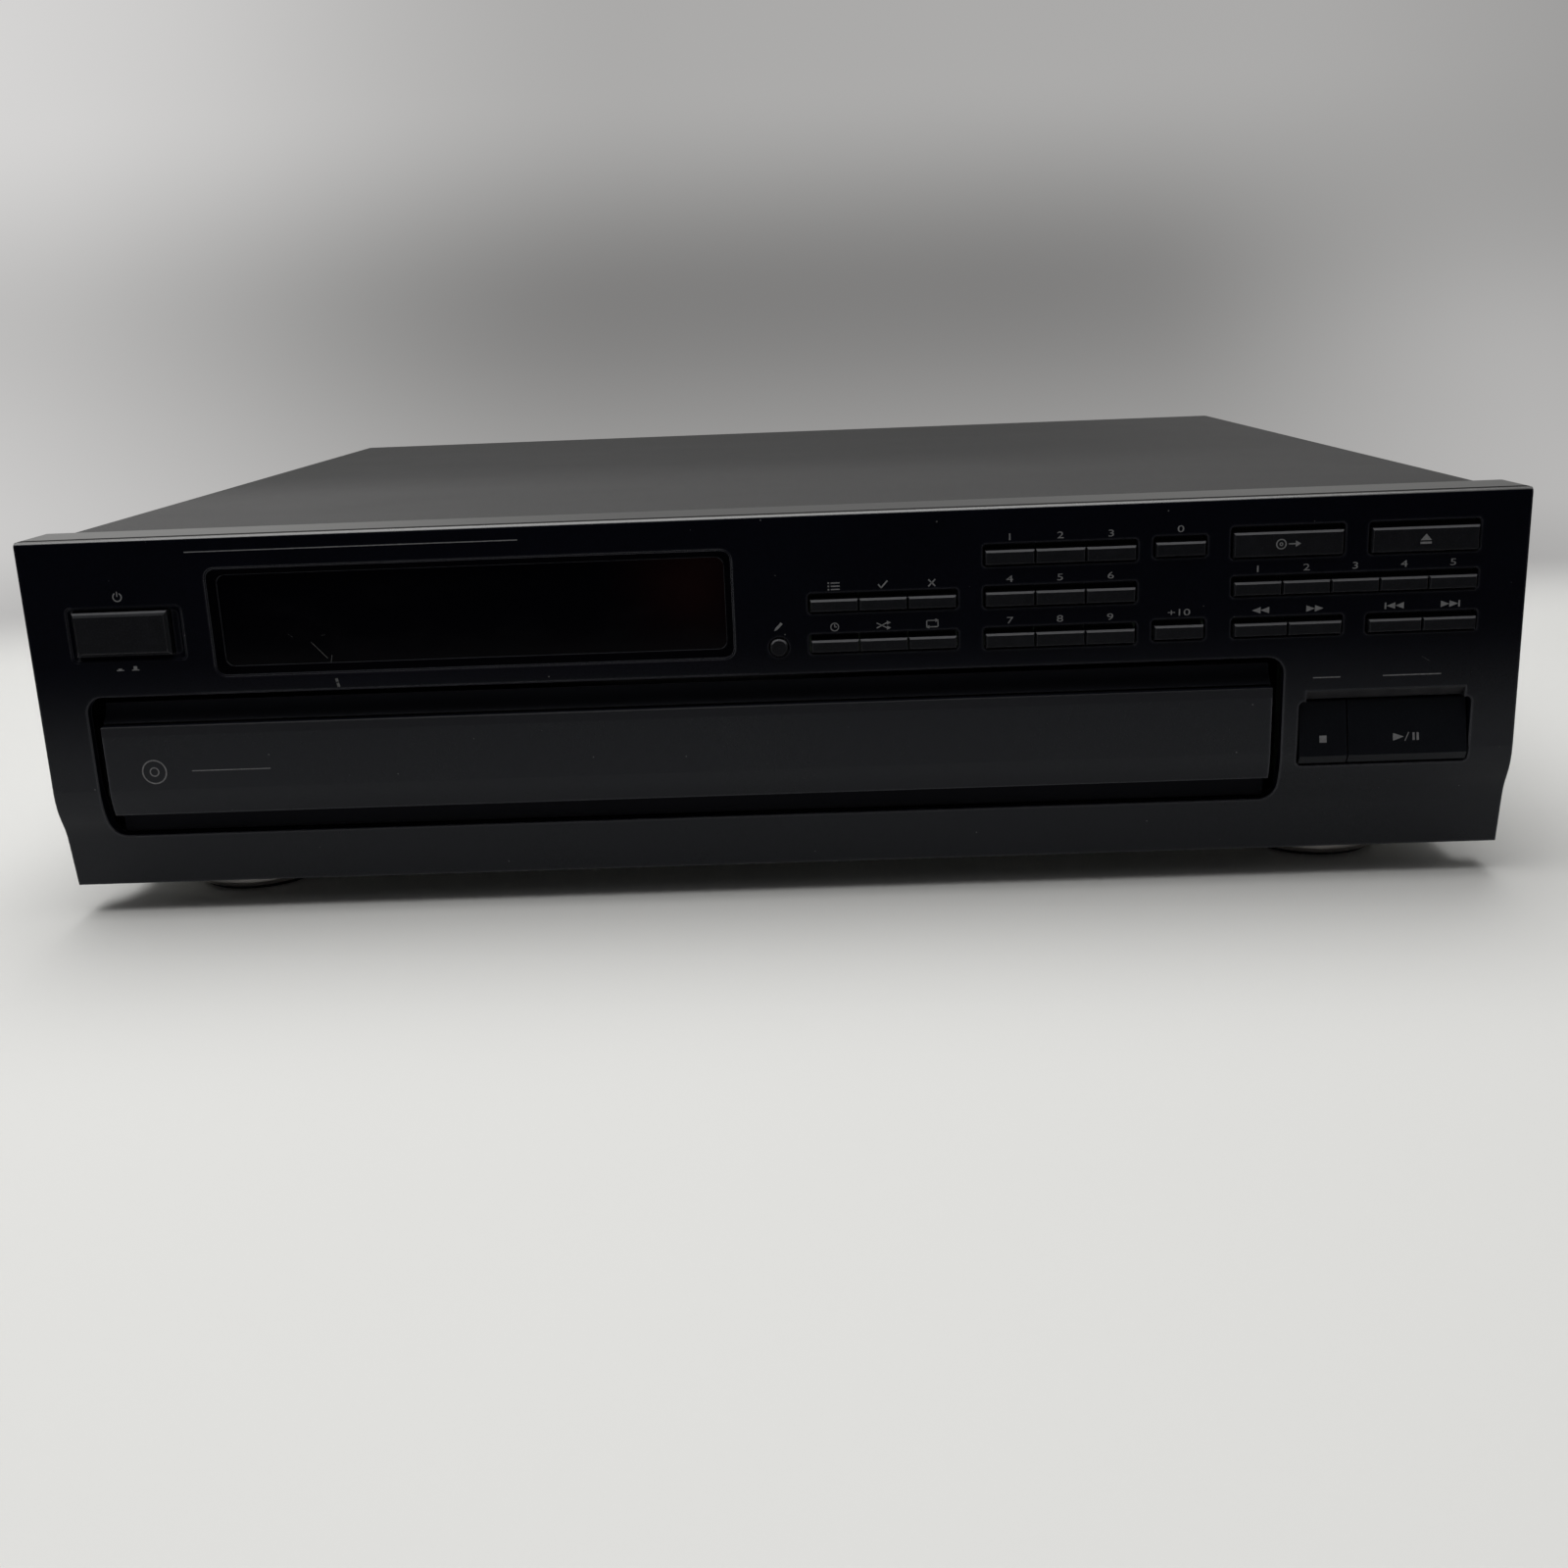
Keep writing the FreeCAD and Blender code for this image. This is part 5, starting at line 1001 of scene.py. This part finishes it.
class CutScrewRecesses(bpy.types.Operator):
    """Dark crosses painted on the heads of the cover screws as the shade in their cross recesses"""

    bl_idname = "changer.screw_recesses"
    bl_label = "Screw recesses"

    def execute(self, context):
        low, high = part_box("cover_screws")
        front = low.y + SCREW_HEAD_RADIUS
        mesh = bmesh.new()
        for side in (-1, 1):
            turn = Matrix.Rotation(side * math.pi / 2, 4, "Y")
            for y in (front, front + SIDE_SCREW_SPACING):
                self.cross(mesh, (side * high.x, y, low.z + SCREW_HEAD_RADIUS), turn)
        for column in (-1, 0, 1):
            place = (column * BACK_SCREW_SPACING, high.y, high.z - SCREW_HEAD_RADIUS)
            self.cross(mesh, place, Matrix.Rotation(-math.pi / 2, 4, "X"))
        # Painted shade: thin dark crosses stand for the shaded hollows of the recesses.
        dark = Look("painted_recess_shade")
        dark.set(colour=dark.mix(dark.noise(0.5), 0.002, 0.006), roughness=0.8)
        add_trim("screw_recesses", mesh, dark.material, "root")
        return {"FINISHED"}

    def cross(self, mesh, place, turn):
        for outline in (bar(0, 0, 3.6, 0.8), bar(0, 0, 0.8, 3.6)):
            prism(mesh, outline, 0.03 * MM, Matrix.Translation(place) @ turn)


# ---- operators: stage and camera

class BuildStage(bpy.types.Operator):
    """White table that sweeps up into a pale grey backdrop, with soft light from above"""

    bl_idname = "changer.stage"
    bl_label = "Stage"

    def execute(self, context):
        settings = context.scene.changer_stage
        self.sweep(settings)
        self.room(settings)
        self.lamp("ceiling_light", place=(-0.15, -0.02, 1.2), target=(0, -0.08, 0), size=(1.8, 1.3),
                  power=settings.ceiling_power)
        self.flag()
        return {"FINISHED"}

    def sweep(self, settings):
        """Floor, bend and wall as one smooth sheet."""
        front, bend, radius, top, half = -3.0, 0.75, 0.5, 4.0, 5.0
        steps = 24
        profile = [(front, 0.0), (bend, 0.0)]
        for step in range(1, steps + 1):
            angle = math.pi / 2 * step / steps
            profile.append((bend + radius * math.sin(angle), radius * (1 - math.cos(angle))))
        profile.append((bend + radius, top))
        mesh = bmesh.new()
        rows = [[mesh.verts.new((x, y, z)) for x in (-half, half)] for y, z in profile]
        for first, second in zip(rows, rows[1:]):
            face = mesh.faces.new((first[0], first[1], second[1], second[0]))
            face.smooth = True
        sheet = add_object("backdrop", mesh_data("backdrop", mesh, self.paper(settings)))

    def flag(self):
        """A black card in front that only gloss shows, so the panel's upper half stays dark."""
        felt = Look("black_felt")
        felt.set(colour=felt.mix(felt.noise(2), 0.0, 0.004), roughness=1.0, specular=0.0)
        mesh = bmesh.new()
        half, height, front = 2, 1.1, -0.62
        corners = ((-half, 0), (half, 0), (half, height), (-half, height))
        mesh.faces.new([mesh.verts.new((x, front, z)) for x, z in corners])
        card = add_object("black_flag", mesh_data("black_flag", mesh, felt.material))
        for ray in ("camera", "diffuse", "transmission", "volume_scatter", "shadow"):
            setattr(card, f"visible_{ray}", False)

    def paper(self, settings):
        """Lit paper near the object, and beyond it the plain tone that is seen."""
        look = Look("backdrop_paper")
        cloud = look.noise(500, 2).ramp(0.2, 0.8)
        tone = look.mix(cloud, tinted(settings.floor_white, 0.98), settings.floor_white)
        look.set(colour=tone, roughness=0.65, specular=0.2)
        wall = look.axis("Y").ramp(0.22, 0.46)
        flat = look.vectors("MULTIPLY", look.place(), (1, 1, 0), "Vector")
        far = look.vectors("LENGTH", flat, (0, 0, 0)).ramp(0.75, 1.5)
        glow = look.node("ShaderNodeEmission", {"Color": self.backdrop_tone(look, settings, wall, cloud)})
        look.cover(wall.larger(far) * self.seen(look), glow)
        return look.material

    def backdrop_tone(self, look, settings, wall, cloud):
        """Painted light and shade: bright at the upper left, with a darker band painted behind the object
        as its shade, darker towards the right and paler low on the right.
        """
        across, height = look.axis("X"), look.axis("Z")
        left = across.ramp(-0.15, -0.95)
        right = across.ramp(0.45, 0.95)
        low_right = across.ramp(0.35, 0.75) * height.ramp(0.42, 0.1)
        band = height.ramp(-0.08, 0.2) * height.ramp(0.42, 0.2)
        middle = 1 - across.absolute().ramp(0.2, 0.9) * 0.5
        # Painted light: paler towards the left.
        tone = look.mix(left * 0.9, settings.wall_grey, PALE_WALL)
        # Painted shade: a dark band behind the object, and darker towards the right.
        tone = look.mix(right * 0.18 + band * middle * 0.5, tone, (0.01, 0.009, 0.008))
        tone = look.mix(low_right * 0.36, tone, PALE_WALL)
        tone = look.mix(cloud * 0.08, tone, (0.30, 0.298, 0.295))
        centre = across.absolute().ramp(2.2, 1.3)
        return look.mix(wall * centre, settings.surround_grey, tone)

    def seen(self, look):
        """1 for the rays that look at the backdrop, 0 for the rays that light the object."""
        camera = look.node("ShaderNodeLightPath", output="Is Camera Ray")
        glossy, clear = (Wire(look, camera.socket.node.outputs[f"Is {kind} Ray"])
                         for kind in ("Glossy", "Transmission"))
        return camera.larger(glossy.larger(clear))

    def room(self, settings):
        """Room light: bright straight up and dim at eye level, and a plain tone where it is seen."""
        room = Look("room", world=True)
        bpy.context.scene.world = room.material
        direction = room.node("ShaderNodeTexCoord", output="Generated")
        height = room.node("ShaderNodeSeparateXYZ", {0: direction}, output="Z")
        light = room.mix(height.ramp(0, 1), settings.horizon_level, settings.sky_level)
        room.set(color=room.mix(self.seen(room), light, settings.surround_grey))

    def lamp(self, name, place, target, size, power):
        light = bpy.data.lights.new(name, "AREA")
        light.shape = "RECTANGLE"
        light.size, light.size_y = size
        light.energy = power
        lamp = add_object(name, light)
        lamp.location = place
        lamp.rotation_euler = (Vector(target) - Vector(place)).to_track_quat("-Z", "Y").to_euler()


class PlaceCamera(bpy.types.Operator):
    """The camera in front of the panel, a little above it"""

    bl_idname = "changer.camera"
    bl_label = "Camera"

    def execute(self, context):
        settings = context.scene.changer_view
        data = bpy.data.cameras.new("front_camera")
        data.sensor_width = 36.0
        data.lens = settings.lens
        camera = add_object("front_camera", data)
        context.scene.camera = camera
        upright = Matrix(((1, 0, 0), (0, 0, -1), (0, 1, 0)))
        turns = (Matrix.Rotation(settings.turn, 3, "Y") @ Matrix.Rotation(settings.pitch, 3, "X")
                 @ Matrix.Rotation(settings.roll, 3, "Z"))
        seen = Matrix.Diagonal((1, -1, -1)) @ turns @ upright
        camera.matrix_world = Matrix.Translation(settings.place) @ seen.transposed().to_4x4()
        context.scene.view_settings.view_transform = "Standard"
        return {"FINISHED"}


class ChangerPanel(bpy.types.Panel):
    """Lists the steps that finish the changer"""

    bl_idname = "VIEW3D_PT_changer"
    bl_label = "Disc changer"
    bl_space_type = "VIEW_3D"
    bl_region_type = "UI"
    bl_category = "Disc changer"

    def draw(self, context):
        for settings in GROUPS:
            group = getattr(context.scene, settings)
            box = self.layout.box()
            for name in group.bl_rna.properties.keys():
                if name not in ("rna_type", "name"):
                    box.prop(group, name)
        for step in STEPS:
            self.layout.operator(step.bl_idname)


STEPS = (
    PlaceCamera, BuildStage, DressFrontPanel, DressKeys, DressDisplay, DressCover, DressChassis,
    DressFeet, DressDrawer, PrintCarouselNumbers, DressMechanism, DressElectronics, PrintFrontMarks,
    CutScrewRecesses,
)
GROUPS = {
    "changer_casing": CasingSettings, "changer_marks": MarkSettings,
    "changer_view": ViewSettings, "changer_stage": StageSettings,
}


def register():
    for group in GROUPS.values():
        bpy.utils.register_class(group)
    for name, group in GROUPS.items():
        setattr(bpy.types.Scene, name, PointerProperty(type=group))
    for step in STEPS:
        bpy.utils.register_class(step)
    bpy.utils.register_class(ChangerPanel)


def unregister():
    bpy.utils.unregister_class(ChangerPanel)
    for step in reversed(STEPS):
        bpy.utils.unregister_class(step)
    for name, group in GROUPS.items():
        delattr(bpy.types.Scene, name)
        bpy.utils.unregister_class(group)


def main():
    register()
    for step in STEPS:
        category, name = step.bl_idname.split(".")
        getattr(getattr(bpy.ops, category), name)()


if __name__ == "__main__":
    main()
